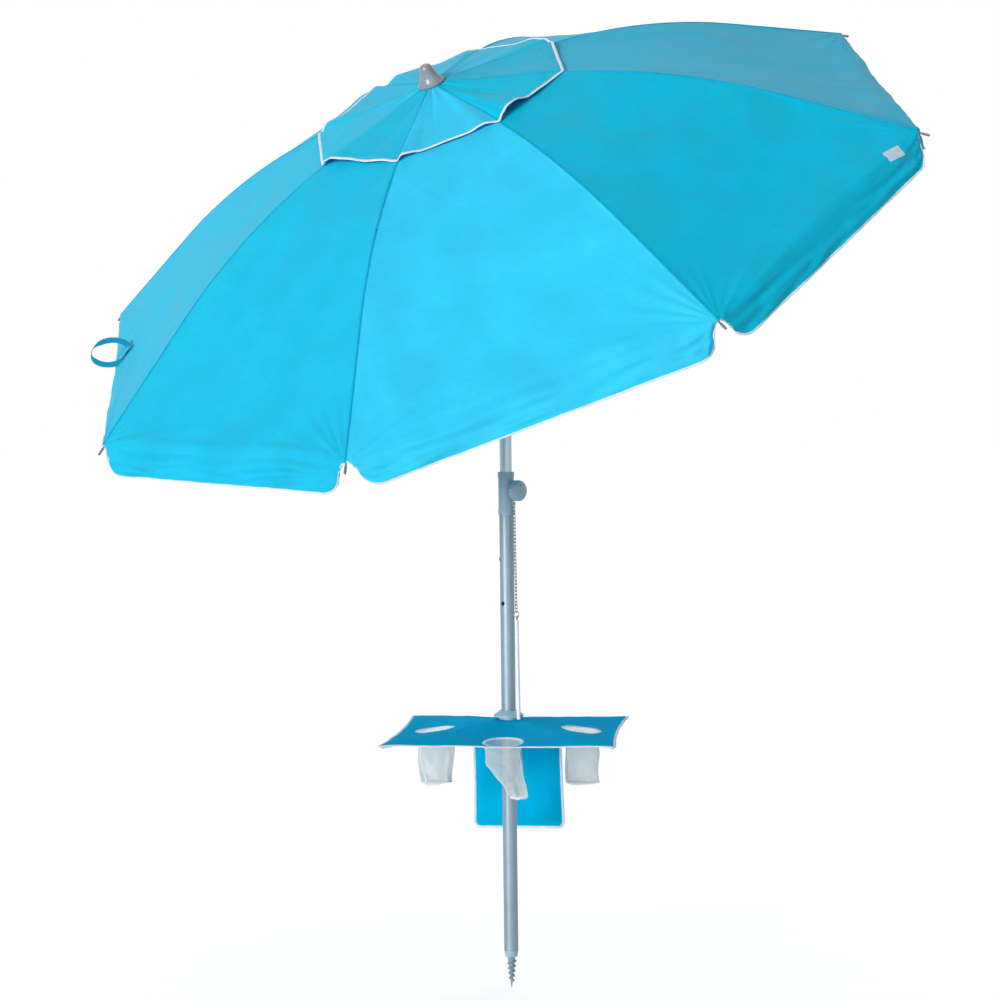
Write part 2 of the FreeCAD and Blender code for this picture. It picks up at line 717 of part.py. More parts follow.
def make_rib():
    drop = -size("rib_drop")
    start = size("rib_pivot_radius")
    end = knuckle_radius()
    root = Vector(start, 0, fabric_height(start) + drop)
    joint = Vector(end, 0, fabric_height(end) + drop)
    way = slope_at(end)
    rod_end = (joint - way * 4.4).x
    rod = sweep_round(profile_edges(start + 1.5, rod_end, drop), size("rib_radius"))
    eye = Part.makeCylinder(size("eye_radius"), 5.0, root - Y_AXIS * 2.5, Y_AXIS)
    clip, runner = linkage()
    along = slope_at(clip.x)
    clamp = Part.makeCylinder(3.6, 12, clip - along * 6, along)
    stud = Part.makeCylinder(2.6, 3.7, clip, Y_AXIS)
    tongue = Part.makeCylinder(3.4, 2.4, joint - Y_AXIS * 1.2, Y_AXIS)
    web = bar(8.0, 2.4, 5.0, Vector(-4.0, 0, 0))
    web = web.transformed(Placement(joint, Rotation(X_AXIS, way)).toMatrix())
    shape = rod.fuse([eye, clamp, stud, tongue, web])
    shape = drill(shape, root, Y_AXIS, size("pivot_pin_radius") + 0.05, 10.0)
    return drill(shape, joint, Y_AXIS, 1.05, 10.0)


def make_rib_tip():
    drop = -size("rib_drop")
    start = knuckle_radius()
    joint = Vector(start, 0, fabric_height(start) + drop)
    way = slope_at(start)
    radius = 3.3
    rod_start = (joint + way * 8).x
    end = size("rim_radius") + size("rib_overhang")
    rod = sweep_round(profile_edges(rod_start, end, drop), size("tip_rod_radius"))
    ferrule = Part.makeCylinder(radius, 17, joint - way * radius, way)
    block = Part.makeCylinder(radius, 10, joint - Y_AXIS * 5, Y_AXIS)
    trim = Part.makeCylinder(radius + 2, radius, joint - way * radius, way).cut(block)
    slot = bar(radius + 8.2, 3.0, 10.0, Vector((8.2 - radius) / 2 - 2.0, 0, 0))
    slot = slot.transformed(Placement(joint, Rotation(X_AXIS, way)).toMatrix())
    pin = Part.makeCylinder(1.0, 6.0, joint - Y_AXIS * 3, Y_AXIS)
    low = slope_at(end)
    tip = Vector(end, 0, fabric_height(end) + drop)
    cap_radius = size("tip_cap_radius")
    cap = Part.makeCylinder(cap_radius, 14, tip - low * 12, low)
    cap = cap.fuse(Part.makeSphere(cap_radius, tip + low * 2))
    return ferrule.cut(trim).cut(slot).fuse([rod, pin, cap])


def make_stretcher():
    clip, height = linkage()
    side = size("stretcher_side")
    thick = size("stretcher_thickness")
    foot = Vector(size("rib_pivot_radius"), side - thick / 2, height)
    head = Vector(clip.x, side - thick / 2, clip.z)
    eye = size("eye_radius")
    way = (head - foot).normalize()
    blade = bar((head - foot).Length, thick, 5.5, Vector(0, 0, 0))
    blade = blade.transformed(
        Placement((head + foot) / 2 + Y_AXIS * (thick / 2), Rotation(X_AXIS, way)).toMatrix())
    ends = [Part.makeCylinder(eye, thick, point, Y_AXIS) for point in (foot, head)]
    rivet = Part.makeCone(2.6, 1.8, 1.2, head + Y_AXIS * thick, Y_AXIS)
    shape = blade.fuse(ends + [rivet])
    return drill(shape, foot, Y_AXIS, size("pivot_pin_radius") + 0.05, 10.0)


def make_frame():
    rib = make_rib()
    tip = make_rib_tip()
    stretcher = make_stretcher()
    for number, angle in enumerate(rib_angles(), start=1):
        shape_piece("rib_%d" % number, about_axis(rib, angle), CANOPY)
        shape_piece("rib_tip_%d" % number, about_axis(tip, angle), CANOPY)
        shape_piece("stretcher_%d" % number, about_axis(stretcher, angle), CANOPY)


# ---------------------------------------------------------------- strap loop and blank label
def gore_point(rib_angle, share, radius):
    """A point of the fabric's outer face, a share of the way from one rib to the next."""
    step = math.radians(360.0 / size("rib_count"))
    start = math.radians(rib_angle)
    near = Vector(math.cos(start), math.sin(start), 0)
    far = Vector(math.cos(start + step), math.sin(start + step), 0)
    point = near * (radius * (1 - share)) + far * (radius * share)
    return point + Z_AXIS * fabric_height(radius)


def gore_axes(rib_angle):
    """Outward, along the rim, and square to the fabric, near the rim of one gore."""
    half_step = math.radians(180.0 / size("rib_count"))
    middle = math.radians(rib_angle) + half_step
    out = Vector(math.cos(middle), math.sin(middle), 0)
    fall = math.atan(tangent("rib_tip_slope") / math.cos(half_step))
    normal = out * math.sin(fall) + Z_AXIS * math.cos(fall)
    return out, Z_AXIS.cross(out), normal


def make_strap_loop():
    angle = rib_angles()[4]
    out, along, normal = gore_axes(angle)
    lift = 8.4
    seat = gore_point(angle, size("strap_share"), size("strap_radius")) + normal * lift
    major = (out * 0.85 + normal * 0.25).normalize()
    plumb = CANOPY.Rotation.inverted().multVec(Z_AXIS * -1)
    axis = major.cross(plumb).normalize()
    minor = axis.cross(major)
    length = size("strap_length") / 2
    opening = size("strap_opening") / 2
    thick = size("strap_thickness")
    width = size("strap_width")
    centre = seat + major * length - axis * (width / 2)
    turn = Placement(centre, Rotation(major, minor, axis, "ZXY"))
    rings = [Part.Face(Part.Wire(Part.Ellipse(Vector(0, 0, 0), length - inset, opening - inset).toShape()))
             for inset in (0.0, thick)]
    band = rings[0].extrude(Z_AXIS * width).cut(rings[1].extrude(Z_AXIS * width))
    shape_piece("strap_loop", band.transformed(turn.toMatrix(), True), CANOPY)


def make_label_patch():
    angle = rib_angles()[-1]
    out, along, normal = gore_axes(angle)
    thick = 1.0
    patch = bar(size("label_length"), size("label_width"), thick, Vector(0, 0, 0))
    seat = gore_point(angle, size("label_share"), size("label_radius"))
    turn = Placement(seat + normal * (thick / 2 + 0.4), Rotation(along, normal.cross(along), normal, "ZXY")
                     .multiply(Rotation(Z_AXIS, size("label_turn"))))
    shape_piece("label_patch", patch.transformed(turn.toMatrix(), True), CANOPY)


# ---------------------------------------------------------------- table on the pole
def make_table_hub():
    grip_bore = "dims.pole_radius + dims.running_gap"
    keep(lathe("table_grip", [
        (grip_bore, "491"),
        ("23", "491"),
        ("23", "494.5"),
        ("19", "494.5"),
        ("19", "541"),
        (grip_bore, "541"),
    ]), "table_grip")
    bore = 19.0 + size("running_gap")
    collar = spun([
        (bore, 495.3), (28, 495.3), (28, 519), (21.5, 519), (21.5, 527.5), (33.5, 527.5),
        (33.5, 531.5), (20.5, 541), (bore, 541)], Vector(0, 0, 0), Z_AXIS)
    arms = []
    for i in range(4):
        way = Rotation(Z_AXIS, 45 + 90 * i).multVec(X_AXIS)
        start = way * 24 + Z_AXIS * 508
        end = way * 352 + Z_AXIS * 490.8
        arm = Part.makeCylinder(size("arm_radius"), (end - start).Length, start, end - start)
        arms.append(arm)
        collar = collar.cut(arm)
    shape_piece("table_collar", collar, TABLE)
    shape_piece("table_arms", Part.makeCompound(arms), TABLE)


def table_roof(drop):
    """The solid under the table's four sloping faces, lowered by a drop."""
    half = size("table_half_width")
    rim = size("table_hub_height") - size("table_fall") - drop
    corners = [Vector(x * half, y * half, rim) for x, y in ((1, 1), (-1, 1), (-1, -1), (1, -1))]
    base = [Vector(c.x, c.y, 300) for c in corners]
    apex = Z_AXIS * (size("table_hub_height") - drop)
    faces = [Part.Face(Part.makePolygon(base + [base[0]]))]
    for i in range(4):
        j = (i + 1) % 4
        faces.append(Part.Face(Part.makePolygon([corners[i], corners[j], apex, corners[i]])))
        faces.append(Part.Face(Part.makePolygon([base[i], base[j], corners[j], corners[i], base[i]])))
    return Part.makeSolid(Part.makeShell(faces))


def cup_centres():
    side = size("cup_side")
    return {
        "cup_pocket_left": Vector(-side, -size("cup_side_forward"), 0),
        "cup_pocket_right": Vector(side, -size("cup_side_forward"), 0),
        "cup_pocket_front": Vector(size("cup_front_side"), -size("cup_front_forward"), 0),
    }


def make_table_top():
    half = size("table_half_width")
    sag = size("table_edge_sag")
    corners = [Vector(x * half, y * half, 400) for x, y in ((1, 1), (-1, 1), (-1, -1), (1, -1))]
    edges = []
    for i in range(4):
        a, b = corners[i], corners[(i + 1) % 4]
        middle = (a + b) / 2
        middle = middle - Vector(middle.x, middle.y, 0).normalize() * sag
        edges.append(Part.Arc(a, middle, b).toShape())
    plan = Part.Face(Part.Wire(edges)).extrude(Z_AXIS * 200)
    top = table_roof(0.0).common(plan).cut(table_roof(size("fabric_thickness")))
    top = drill(top, Z_AXIS * 500, Z_AXIS, 22.0, 100.0)
    for centre in cup_centres().values():
        top = drill(top, centre + Z_AXIS * 500, Z_AXIS, size("cup_radius"), 100.0)
    shape_piece("table_top", top, TABLE)


def make_cup_pockets():
    """Three mesh pockets hanging from the holes in the table."""
    thick = size("mesh_thickness")
    outer = size("cup_radius") + thick
    under = table_roof(size("fabric_thickness"))
    for node, centre in cup_centres().items():
        distance = max(abs(centre.x), abs(centre.y)) - outer
        top = size("table_hub_height") - size("table_fall") * distance / size("table_half_width")
        floor = centre + Z_AXIS * (top - 8 - size("cup_depth"))
        pocket = Part.makeCylinder(outer, 150, floor)
        pocket = pocket.cut(Part.makeCylinder(size("cup_radius"), 150, floor + Z_AXIS * thick))
        shape_piece(node, pocket.common(under), TABLE)


def make_pouch():
    """The open pouch hanging from the back edge: five sewn panels, lower at the front."""
    width = size("pouch_width")
    depth = size("pouch_depth")
    wall = 1.5
    mouth = 22.0
    low = size("pouch_bottom")
    top = size("table_hub_height") - size("table_fall") - 0.1
    back = size("table_half_width") - size("table_edge_sag") - 1.0
    left = size("pouch_side") - width / 2
    front = back - depth
    inside = width - 2 * wall
    panels = [
        Part.makeBox(width, wall, top - low, Vector(left, back - wall, low)),
        Part.makeBox(inside, wall, top - mouth - low, Vector(left + wall, front, low)),
        Part.makeBox(inside, depth - 2 * wall, wall, Vector(left + wall, front + wall, low)),
        Part.makeBox(wall, depth - wall, top - low, Vector(left, front, low)),
        Part.makeBox(wall, depth - wall, top - low, Vector(left + width - wall, front, low)),
    ]
    shape_piece("pouch", Part.makeCompound(panels), TABLE)


make_lower_pole()
make_pole_ferrule()
make_ground_screw()
make_guide_bush()
make_clamp()
make_knob()
make_lever_bar(make_chain())
make_upper_pole()
make_tilt_lower()
make_tilt_button()
make_tilt_upper()
make_top_tube()
make_crown()
make_finial()
make_canopy()
make_runner()
make_frame()
make_strap_loop()
make_label_patch()
make_table_hub()
make_table_top()
make_cup_pockets()
make_pouch()
doc.recompute()

# ---------------------------------------------------------------- check and write
for thing in doc.Objects:
    if "Invalid" in thing.State or "Error" in thing.State:
        raise RuntimeError("object failed: " + thing.Label)
for piece in PIECES:
    if piece.Shape.isNull() or not piece.Shape.isValid():
        raise RuntimeError("bad shape: " + piece.Label)

os.makedirs("parts", exist_ok=True)
for piece in PIECES:
    piece.Shape.exportStep("parts/%s.step" % piece.Label)
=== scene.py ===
"""Looks of the tilted beach umbrella with its pole table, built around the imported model."""

import json
import math
import random

import bpy
import numpy as np
from mathutils import Matrix, Vector, noise
from mathutils.bvhtree import BVHTree
from mathutils.geometry import delaunay_2d_cdt


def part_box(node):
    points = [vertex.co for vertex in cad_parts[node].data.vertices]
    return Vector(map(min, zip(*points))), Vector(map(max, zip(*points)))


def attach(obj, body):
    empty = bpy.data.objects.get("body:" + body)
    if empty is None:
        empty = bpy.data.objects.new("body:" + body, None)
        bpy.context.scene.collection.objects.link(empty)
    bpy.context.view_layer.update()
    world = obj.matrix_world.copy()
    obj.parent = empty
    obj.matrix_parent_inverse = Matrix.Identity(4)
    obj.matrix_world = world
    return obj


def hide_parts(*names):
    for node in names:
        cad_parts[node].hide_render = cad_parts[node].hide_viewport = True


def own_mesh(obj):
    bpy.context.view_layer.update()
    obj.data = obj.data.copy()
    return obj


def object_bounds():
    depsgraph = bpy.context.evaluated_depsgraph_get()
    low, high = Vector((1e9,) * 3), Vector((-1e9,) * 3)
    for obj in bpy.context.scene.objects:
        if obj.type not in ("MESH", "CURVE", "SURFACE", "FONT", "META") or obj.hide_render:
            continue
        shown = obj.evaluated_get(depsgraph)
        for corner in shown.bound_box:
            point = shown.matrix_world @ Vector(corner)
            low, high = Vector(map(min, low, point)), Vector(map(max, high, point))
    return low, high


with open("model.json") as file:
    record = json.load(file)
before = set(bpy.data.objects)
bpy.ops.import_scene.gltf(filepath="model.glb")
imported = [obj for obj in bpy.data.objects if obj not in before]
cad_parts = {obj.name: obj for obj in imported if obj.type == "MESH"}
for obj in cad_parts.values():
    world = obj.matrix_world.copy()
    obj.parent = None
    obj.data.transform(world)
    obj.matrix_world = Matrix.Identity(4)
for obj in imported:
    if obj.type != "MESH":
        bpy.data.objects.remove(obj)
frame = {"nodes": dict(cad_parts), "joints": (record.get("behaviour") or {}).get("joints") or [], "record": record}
cad_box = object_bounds()
scene = bpy.context.scene
joints = {joint["name"]: joint for joint in frame["joints"]}


def smooth(x):
    """An eased step from 0 to 1 as x goes from 0 to 1."""
    x = np.clip(x, 0.0, 1.0)
    return x * x * (3 - 2 * x)


def unit(v):
    v = np.asarray(v, float)
    return v / np.maximum(np.linalg.norm(v, axis=-1, keepdims=True), 1e-12)


def rough(scale, seed, *place):
    """Smooth noise between about -1 and 1, with features of that scale, at x, y and z arrays."""
    spots = np.stack(np.broadcast_arrays(*place), -1).astype(float)
    shift = Vector((seed * 7.31, seed * 3.17, seed * 5.93))
    found = [noise.noise(Vector(p) / scale + shift) for p in spots.reshape(-1, 3).tolist()]
    return np.array(found).reshape(spots.shape[:-1])


# ------------------------------------------------------------------ camera
LOOK, DOWN = Vector((-0.64256, 0.76528, -0.03839)), Vector((0.01590, -0.03677, -0.99920))
CAMERA_PLACE, LENS, SENSOR = (3.448, -4.128, 1.218), 86.94, 36.0


def make_camera():
    forward = LOOK.normalized()
    right = DOWN.cross(forward).normalized()
    turn = Matrix((right, right.cross(forward), -forward)).transposed()
    data = bpy.data.cameras.new("camera")
    data.sensor_width, data.lens = SENSOR, LENS
    camera = bpy.data.objects.new("camera", data)
    camera.matrix_world = Matrix.Translation(CAMERA_PLACE) @ turn.to_4x4()
    scene.collection.objects.link(camera)
    scene.camera = camera


make_camera()


# ------------------------------------------------------------------ materials
HINGE = np.array(joints["tilt"]["pos_m"])
UP = unit(joints["runner_slide"]["axis"])
# Each panel's colour is multiplied by its own tone, which paints the shade and pale sheen that the lamps don't
# give that panel; the cap's panels take the same tones.
# A pair gives what its red is multiplied by, which paints a pale sheen where it is high, then its green and blue,
# which paint light above 1 and shade below it.
PANEL_SHADE_TONES = ((1.0, 0.88), (1.0, 0.94), (1.0, 0.96), (1.0, 0.98),
               (1.5, 1.02), (0.5, 0.96), (1.6, 1.13), (0.0, 0.95))
TINT_TOP = 2.0
PANEL_PITCH = 1.3  # metres of UV from one panel to the next
BAND = 0.314  # distance between a wave texture's bands at a scale of 1


class Nodes:
    """The nodes of a material, or of another owner such as a world, under construction."""

    def __init__(self, name, owner=None, shader="Principled BSDF"):
        owner = owner or bpy.data.materials.new(name)
        owner.use_nodes = True
        self.owner, self.tree = owner, owner.node_tree
        self.shader = self.tree.nodes[shader]

    def put(self, node, inputs):
        for key, value in inputs.items():
            if isinstance(value, bpy.types.NodeSocket):
                self.tree.links.new(value, node.inputs[key])
            else:
                node.inputs[key].default_value = value
        return node

    def add(self, kind, inputs=None, **settings):
        node = self.tree.nodes.new("ShaderNode" + kind)
        for key, value in settings.items():
            setattr(node, key, value)
        return self.put(node, inputs or {})

    def done(self, inputs):
        self.put(self.shader, inputs)
        return self.owner

    def math(self, operation, a, b=0.0):
        return self.add("Math", {0: a, 1: b}, operation=operation).outputs[0]

    def line(self, value, slope, start):
        return self.math("ADD", self.math("MULTIPLY", value, slope), start)

    def scaled(self, at, scale):
        return self.add("Mapping", {"Vector": at, "Scale": scale}).outputs[0]

    def noise(self, at, scale, detail, roughness=0.5):
        inputs = {"Vector": at, "Scale": scale, "Detail": detail, "Roughness": roughness}
        return self.add("TexNoise", inputs).outputs["Fac"]

    def spots(self, at, scale, detail, low=0.35, high=0.65):
        inputs = {"Value": self.noise(at, scale, detail), "From Min": low, "From Max": high}
        return self.add("MapRange", inputs).outputs["Result"]

    def bands(self, uv, pitch, distortion, way="Y", detail=2.0):
        inputs = {"Vector": uv, "Scale": BAND / pitch, "Distortion": distortion, "Detail": detail}
        return self.add("TexWave", inputs, bands_direction=way).outputs["Fac"]

    def mix(self, share, a, b):
        """A mix of two colours, whose sockets are the Mix node's inputs 6 and 7 and output 2."""
        return self.add("Mix", {0: share, 6: a, 7: b}, data_type="RGBA").outputs[2]

    def mottled(self, pattern, color, low, high):
        return self.mix(pattern, rgba(color, low), rgba(color, high))

    def layers(self, base, color, *layers):
        """The base under layers of a pattern, its strength, and the colour's gain there."""
        for pattern, strength, gain in layers:
            base = self.mix(self.math("MULTIPLY", pattern, strength), base, rgba(color, gain))
        return base

    def vector(self, operation, inputs, output="Vector"):
        return self.add("VectorMath", inputs, operation=operation).outputs[output]

    def bump(self, height, distance, strength, before=None):
        inputs = {"Height": height, "Distance": distance, "Strength": strength}
        return self.add("Bump", inputs | ({"Normal": before} if before else {})).outputs["Normal"]


def rgba(color, gain=1.0):
    return tuple(min(1.0, c * gain) for c in color) + (1.0,)


def paint_panel_shade(n, uv, base, shade_tones):
    """The base times each panel's tone, a painted shade and sheen, found from how far along the UV it is."""
    along = n.add("SeparateXYZ", {0: uv}).outputs["X"]
    turns = n.math("DIVIDE", n.math("ADD", along, PANEL_PITCH / 2), PANEL_PITCH * len(shade_tones))
    node = n.add("ValToRGB", {"Fac": n.math("FRACT", turns)})
    ramp = node.color_ramp
    ramp.interpolation = "CONSTANT"
    for i, (red, tone) in enumerate(shade_tones):
        stop = ramp.elements[0] if i == 0 else ramp.elements.new(i / len(shade_tones))
        stop.color = (red / TINT_TOP, tone / TINT_TOP, tone / TINT_TOP, 1)
    ramp.elements.remove(ramp.elements[-1])
    tint = n.vector("SCALE", {0: node.outputs["Color"], "Scale": TINT_TOP})
    return n.vector("MULTIPLY", {0: base, 1: tint})


def cloth(name, color, pitch=0.0007, roughness=0.56, sheen=0.10, contrast=0.07, shade_tones=(),
          gloss=0.26):
    """Woven cloth: threads, slubs, soft creases and uneven colour, with each panel's painted shade and sheen when
    tones are given. UV is in metres.
    """
    n = Nodes(name)
    uv = n.add("UVMap").outputs["UV"]
    weave = n.math("MULTIPLY", *[n.bands(uv, pitch, 0.4, way, 0.0) for way in "XY"])
    blotch = n.spots(uv, 9.0, 3.0)
    slub = n.noise(n.scaled(uv, (1.0, 14.0, 1.0)), 90.0, 2.0)
    base = n.mottled(blotch, color, 1 - contrast, 1 + contrast)
    base = n.layers(base, color, (n.spots(uv, 55.0, 4.0), 0.5, 1 - 0.6 * contrast),
                    (weave, 0.16, 0.72), (slub, 0.12, 1.25))
    if shade_tones:
        base = paint_panel_shade(n, uv, base, shade_tones)
    worn = {"Value": blotch, "To Min": roughness - 0.05, "To Max": roughness + 0.07}
    crumpled = n.bump(n.noise(uv, 26.0, 3.0, 0.55), 0.0048, 0.5)
    return n.done({"Base Color": base, "Roughness": n.add("MapRange", worn).outputs["Result"],
                   "Normal": n.bump(weave, 0.00012, 0.35, crumpled), "Sheen Weight": sheen,
                   "Sheen Roughness": 0.45, "Specular IOR Level": gloss})


def webbing(name, color, pitch=0.0016):
    """Narrow woven tape with ribs across it and a darker row of stitches near each edge."""
    n = Nodes(name)
    uv = n.add("UVMap").outputs["UV"]
    across, stitch = n.bands(uv, pitch, 0.6), n.bands(uv, 0.0032, 0.2)
    side = n.math("ABSOLUTE", n.add("SeparateXYZ", {0: uv}).outputs["X"])
    row = n.math("LESS_THAN", n.math("ABSOLUTE", n.math("SUBTRACT", side, 0.0013)), 0.0003)
    thread = n.math("MULTIPLY", row, n.math("GREATER_THAN", stitch, 0.4))
    blotch = n.spots(uv, 60.0, 3.0)
    base = n.mottled(blotch, color, 0.94, 1.05)
    normal = n.bump(thread, 0.0003, 0.6, n.bump(across, 0.0002, 0.5))
    return n.done({"Base Color": n.layers(base, color, (across, 0.12, 0.7), (thread, 0.35, 0.55)),
                   "Roughness": n.line(blotch, 0.12, 0.68), "Normal": normal,
                   "Sheen Weight": 0.04, "Specular IOR Level": 0.12})


def plastic(name, color, roughness=0.42):
    """Moulded plastic: a fine spark-eroded grain, faint flow marks and slightly rubbed patches."""
    n = Nodes(name)
    at = n.add("TexCoord").outputs["Object"]
    rubbed = n.spots(at, 75.0, 4.0, 0.52, 0.72)
    base = n.mottled(n.spots(at, 22.0, 3.0), color, 0.95, 1.06)
    return n.done({"Base Color": n.layers(base, color, (rubbed, 0.25, 1.22)),
                   "Roughness": n.line(rubbed, -0.08, roughness),
                   "Normal": n.bump(n.noise(at, 1400.0, 2.0), 0.00006, 0.35)})


def drawn_metal(name, color, roughness, metallic=1.0):
    """Metal tube or wire with fine lines along it, faint handling marks and duller patches."""
    n = Nodes(name)
    at = n.add("TexCoord").outputs["Object"]
    lines, dull = n.noise(n.scaled(at, (900.0, 900.0, 9.0)), 1.0, 3.0), n.spots(at, 14.0, 4.0)
    marks = n.spots(at, 120.0, 5.0, 0.6, 0.75)
    base = n.mottled(dull, color, 0.94, 1.05)
    return n.done({"Base Color": n.layers(base, color, (lines, 0.18, 0.75), (marks, 0.18, 0.7)),
                   "Roughness": n.line(dull, 0.09, roughness - 0.04),
                   "Normal": n.bump(lines, 0.00003, 0.4), "Metallic": metallic})


def painted(name, color, roughness=0.35, bare_from=None):
    """Glossy coat with faint orange peel and grime, and dark bare ends from a radius outwards."""
    n = Nodes(name)
    at = n.add("TexCoord").outputs["Object"]
    grime = n.spots(at, 40.0, 5.0, 0.55, 0.8)
    base = n.layers(rgba(color), color, (grime, 0.3, 0.82))
    if bare_from:
        place = n.vector("SUBTRACT", {0: at, 1: tuple(HINGE)})
        across = n.vector("CROSS_PRODUCT", {0: place, 1: tuple(UP)})
        radius = n.vector("LENGTH", {0: across}, "Value")
        base = n.mix(n.math("GREATER_THAN", radius, bare_from), base, (0.17, 0.19, 0.21, 1.0))
    return n.done({"Base Color": base, "Roughness": n.line(grime, 0.2, roughness),
                   "Normal": n.bump(n.noise(at, 500.0, 1.0), 0.00005, 0.3)})


materials = {
    "canopy": cloth("canopy_cloth", (0.022, 0.55, 0.82), shade_tones=PANEL_SHADE_TONES, sheen=0.015,
                    gloss=0.10),
    "seam": cloth("seam_cloth", (0.0, 0.43, 0.66), sheen=0.01, gloss=0.10),
    "table": cloth("table_cloth", (0.0, 0.45, 0.76), contrast=0.11, roughness=0.75, sheen=0.0,
                   gloss=0.015),
    "binding": webbing("white_binding", (0.86, 0.92, 0.97)),
    "strap": webbing("strap_webbing", (0.0, 0.31, 0.49)),
    "net": webbing("white_net", (0.85, 0.95, 1.0), 0.0006),
    "label": cloth("label_cloth", (0.55, 0.74, 0.84), 0.0004, contrast=0.03),
    "thread": webbing("dark_thread", (0.003, 0.13, 0.22), 0.0008),
}
# The looks of the CAD nodes that stay, by material slot, and by name for three that differ from it.
finish = {
    "satin_tube": drawn_metal("satin_tube", (0.25, 0.34, 0.40), 0.42, 0.45),
    # The upper pole takes a lighter copy of the satin tube: painted light where the canopy's shadow falls on it.
    "upper_pole": drawn_metal("tube_painted_lit", (0.62, 0.71, 0.76), 0.30, 0.35),
    # The slate plastic is lighter than the plastic really is: painted light on the parts in the canopy's shadow,
    # such as the clamp.
    "slate_plastic": plastic("slate_plastic", (0.36, 0.51, 0.61)),
    "dark_plastic": plastic("dark_plastic", (0.055, 0.075, 0.10)),
    "white_plastic": plastic("white_plastic", (0.90, 0.92, 0.94), 0.35),
    "steel": drawn_metal("steel", (0.15, 0.17, 0.18), 0.22),
    "painted_steel": painted("painted_steel", (0.78, 0.80, 0.82)),
    "white_fibreglass": painted("white_fibreglass", (0.80, 0.81, 0.82), 0.45, bare_from=0.968),
    "finial": plastic("finial_plastic", (0.25, 0.27, 0.31), 0.3),
    # The ground screw lies out of that shadow, so it takes a darker copy of the plastic without the painted light.
    "ground_screw": plastic("screw_plastic", (0.24, 0.34, 0.40)),
}


def finish_cad_nodes():
    slots = {part["node"]: part.get("material_slot") for part in frame["record"]["subparts"]}
    for node, piece in frame["nodes"].items():
        by_slot = finish.get(slots.get(node), finish["slate_plastic"])
        piece.data.materials.clear()
        piece.data.materials.append(finish.get(node, by_slot))


finish_cad_nodes()


# ------------------------------------------------------------------ mesh helpers
def quads(ids):
    """The faces between the rows and columns of a grid of point numbers, row by row."""
    corners = [ids[:-1, :-1], ids[1:, :-1], ids[1:, 1:], ids[:-1, 1:]]
    return np.stack(corners, -1).reshape(-1, 4).tolist()


def make_piece(name, points, faces, uv, material, normals=None):
    mesh = bpy.data.meshes.new(name)
    mesh.from_pydata(np.asarray(points, float).tolist(), [], faces)
    layer = mesh.uv_layers.new(name="UVMap")
    corners = np.zeros(len(mesh.loops), np.int32)
    mesh.loops.foreach_get("vertex_index", corners)
    layer.data.foreach_set("uv", np.asarray(uv, np.float32)[corners].ravel())
    mesh.polygons.foreach_set("use_smooth", np.ones(len(mesh.polygons), bool))
    mesh.materials.append(materials[material])
    if normals is not None:
        mesh.normals_split_custom_set_from_vertices(np.asarray(normals, float).tolist())
    mesh.update()
    piece = bpy.data.objects.new(name, mesh)
    scene.collection.objects.link(piece)
    return piece


def corner_normals(points, faces):
    """Smooth normals at a whole cloth's points, by the area of the faces round each.

    The faces are all triangles or all quadrilaterals.
    """
    normals, faces = np.zeros_like(points), np.array(faces)
    corners, last = points[faces], faces.shape[1] - 1
    face = np.cross(corners[:, last - 1] - corners[:, 0], corners[:, last] - corners[:, last - 2])
    for column in faces.T:
        np.add.at(normals, column, face)
    return unit(normals)


def flat_area(points, faces):
    corners = points[np.array(faces)]
    fans = np.cross(corners[:, 1:-1] - corners[:, :1], corners[:, 2:] - corners[:, :1])
    return float(np.linalg.norm(fans, axis=-1).sum() / 2)


def two_sided(name, points, faces, normals, uv, thick, material):
    """A piece of cloth with a real thickness, cut from a larger cloth whose normals it keeps."""
    used = sorted({i for f in faces for i in f})
    place = {old: new for new, old in enumerate(used)}
    faces = [[place[i] for i in f] for f in faces]
    points, normals, uv = points[used], normals[used], uv[used]
    count = len(used)
    edges = {(f[i - 1], f[i]) for f in faces for i in range(len(f))}
    walls = [[b, a, a + count, b + count] for a, b in edges if (b, a) not in edges]
    back = [[i + count for i in reversed(f)] for f in faces]
    both = np.vstack([points + normals * thick / 2, points - normals * thick / 2])
    piece = make_piece(name, both, faces + back + sorted(walls), np.vstack([uv, uv]), material,
                       np.vstack([normals, -normals]))
    piece["one_side"] = flat_area(points, faces)
    return piece


def along_path(path):
    steps = np.linalg.norm(np.diff(path, axis=0), axis=1)
    return np.concatenate([[0.0], np.cumsum(steps)])


def resample(path, normals, spacing):
    """The path and its normals again, at points an even distance apart."""
    at = along_path(path)
    marks = np.linspace(0, at[-1], max(2, int(round(at[-1] / spacing)) + 1))
    return [np.column_stack([np.interp(marks, at, c) for c in v.T]) for v in (path, normals)]


def sweep(path, normals, ring, closed=False, swell=1.0, lift=0.0):
    """Points, faces and UV of a cross-section, the ring, swept along a path on a surface."""
    ahead = np.roll(path, -1, 0) - np.roll(path, 1, 0) if closed else np.gradient(path, axis=0)
    side = unit(np.cross(unit(ahead), normals))
    at, n, m = along_path(path), len(path), len(ring)
    swell, lift = [np.broadcast_to(v, n)[:, None] for v in (swell, lift)]
    points = np.concatenate([path + side * (a * swell) + normals * (b + lift) for a, b in ring])
    uv = np.concatenate([np.column_stack([np.full(n, a), at]) for a, b in ring])
    ids = np.arange(m * n).reshape(m, n)
    ids = np.vstack([ids, ids[:1]])
    if closed:
        return points, quads(np.column_stack([ids, ids[:, 0]])), uv
    return points, quads(ids) + [ids[-2::-1, 0].tolist(), ids[:-1, -1].tolist()], uv


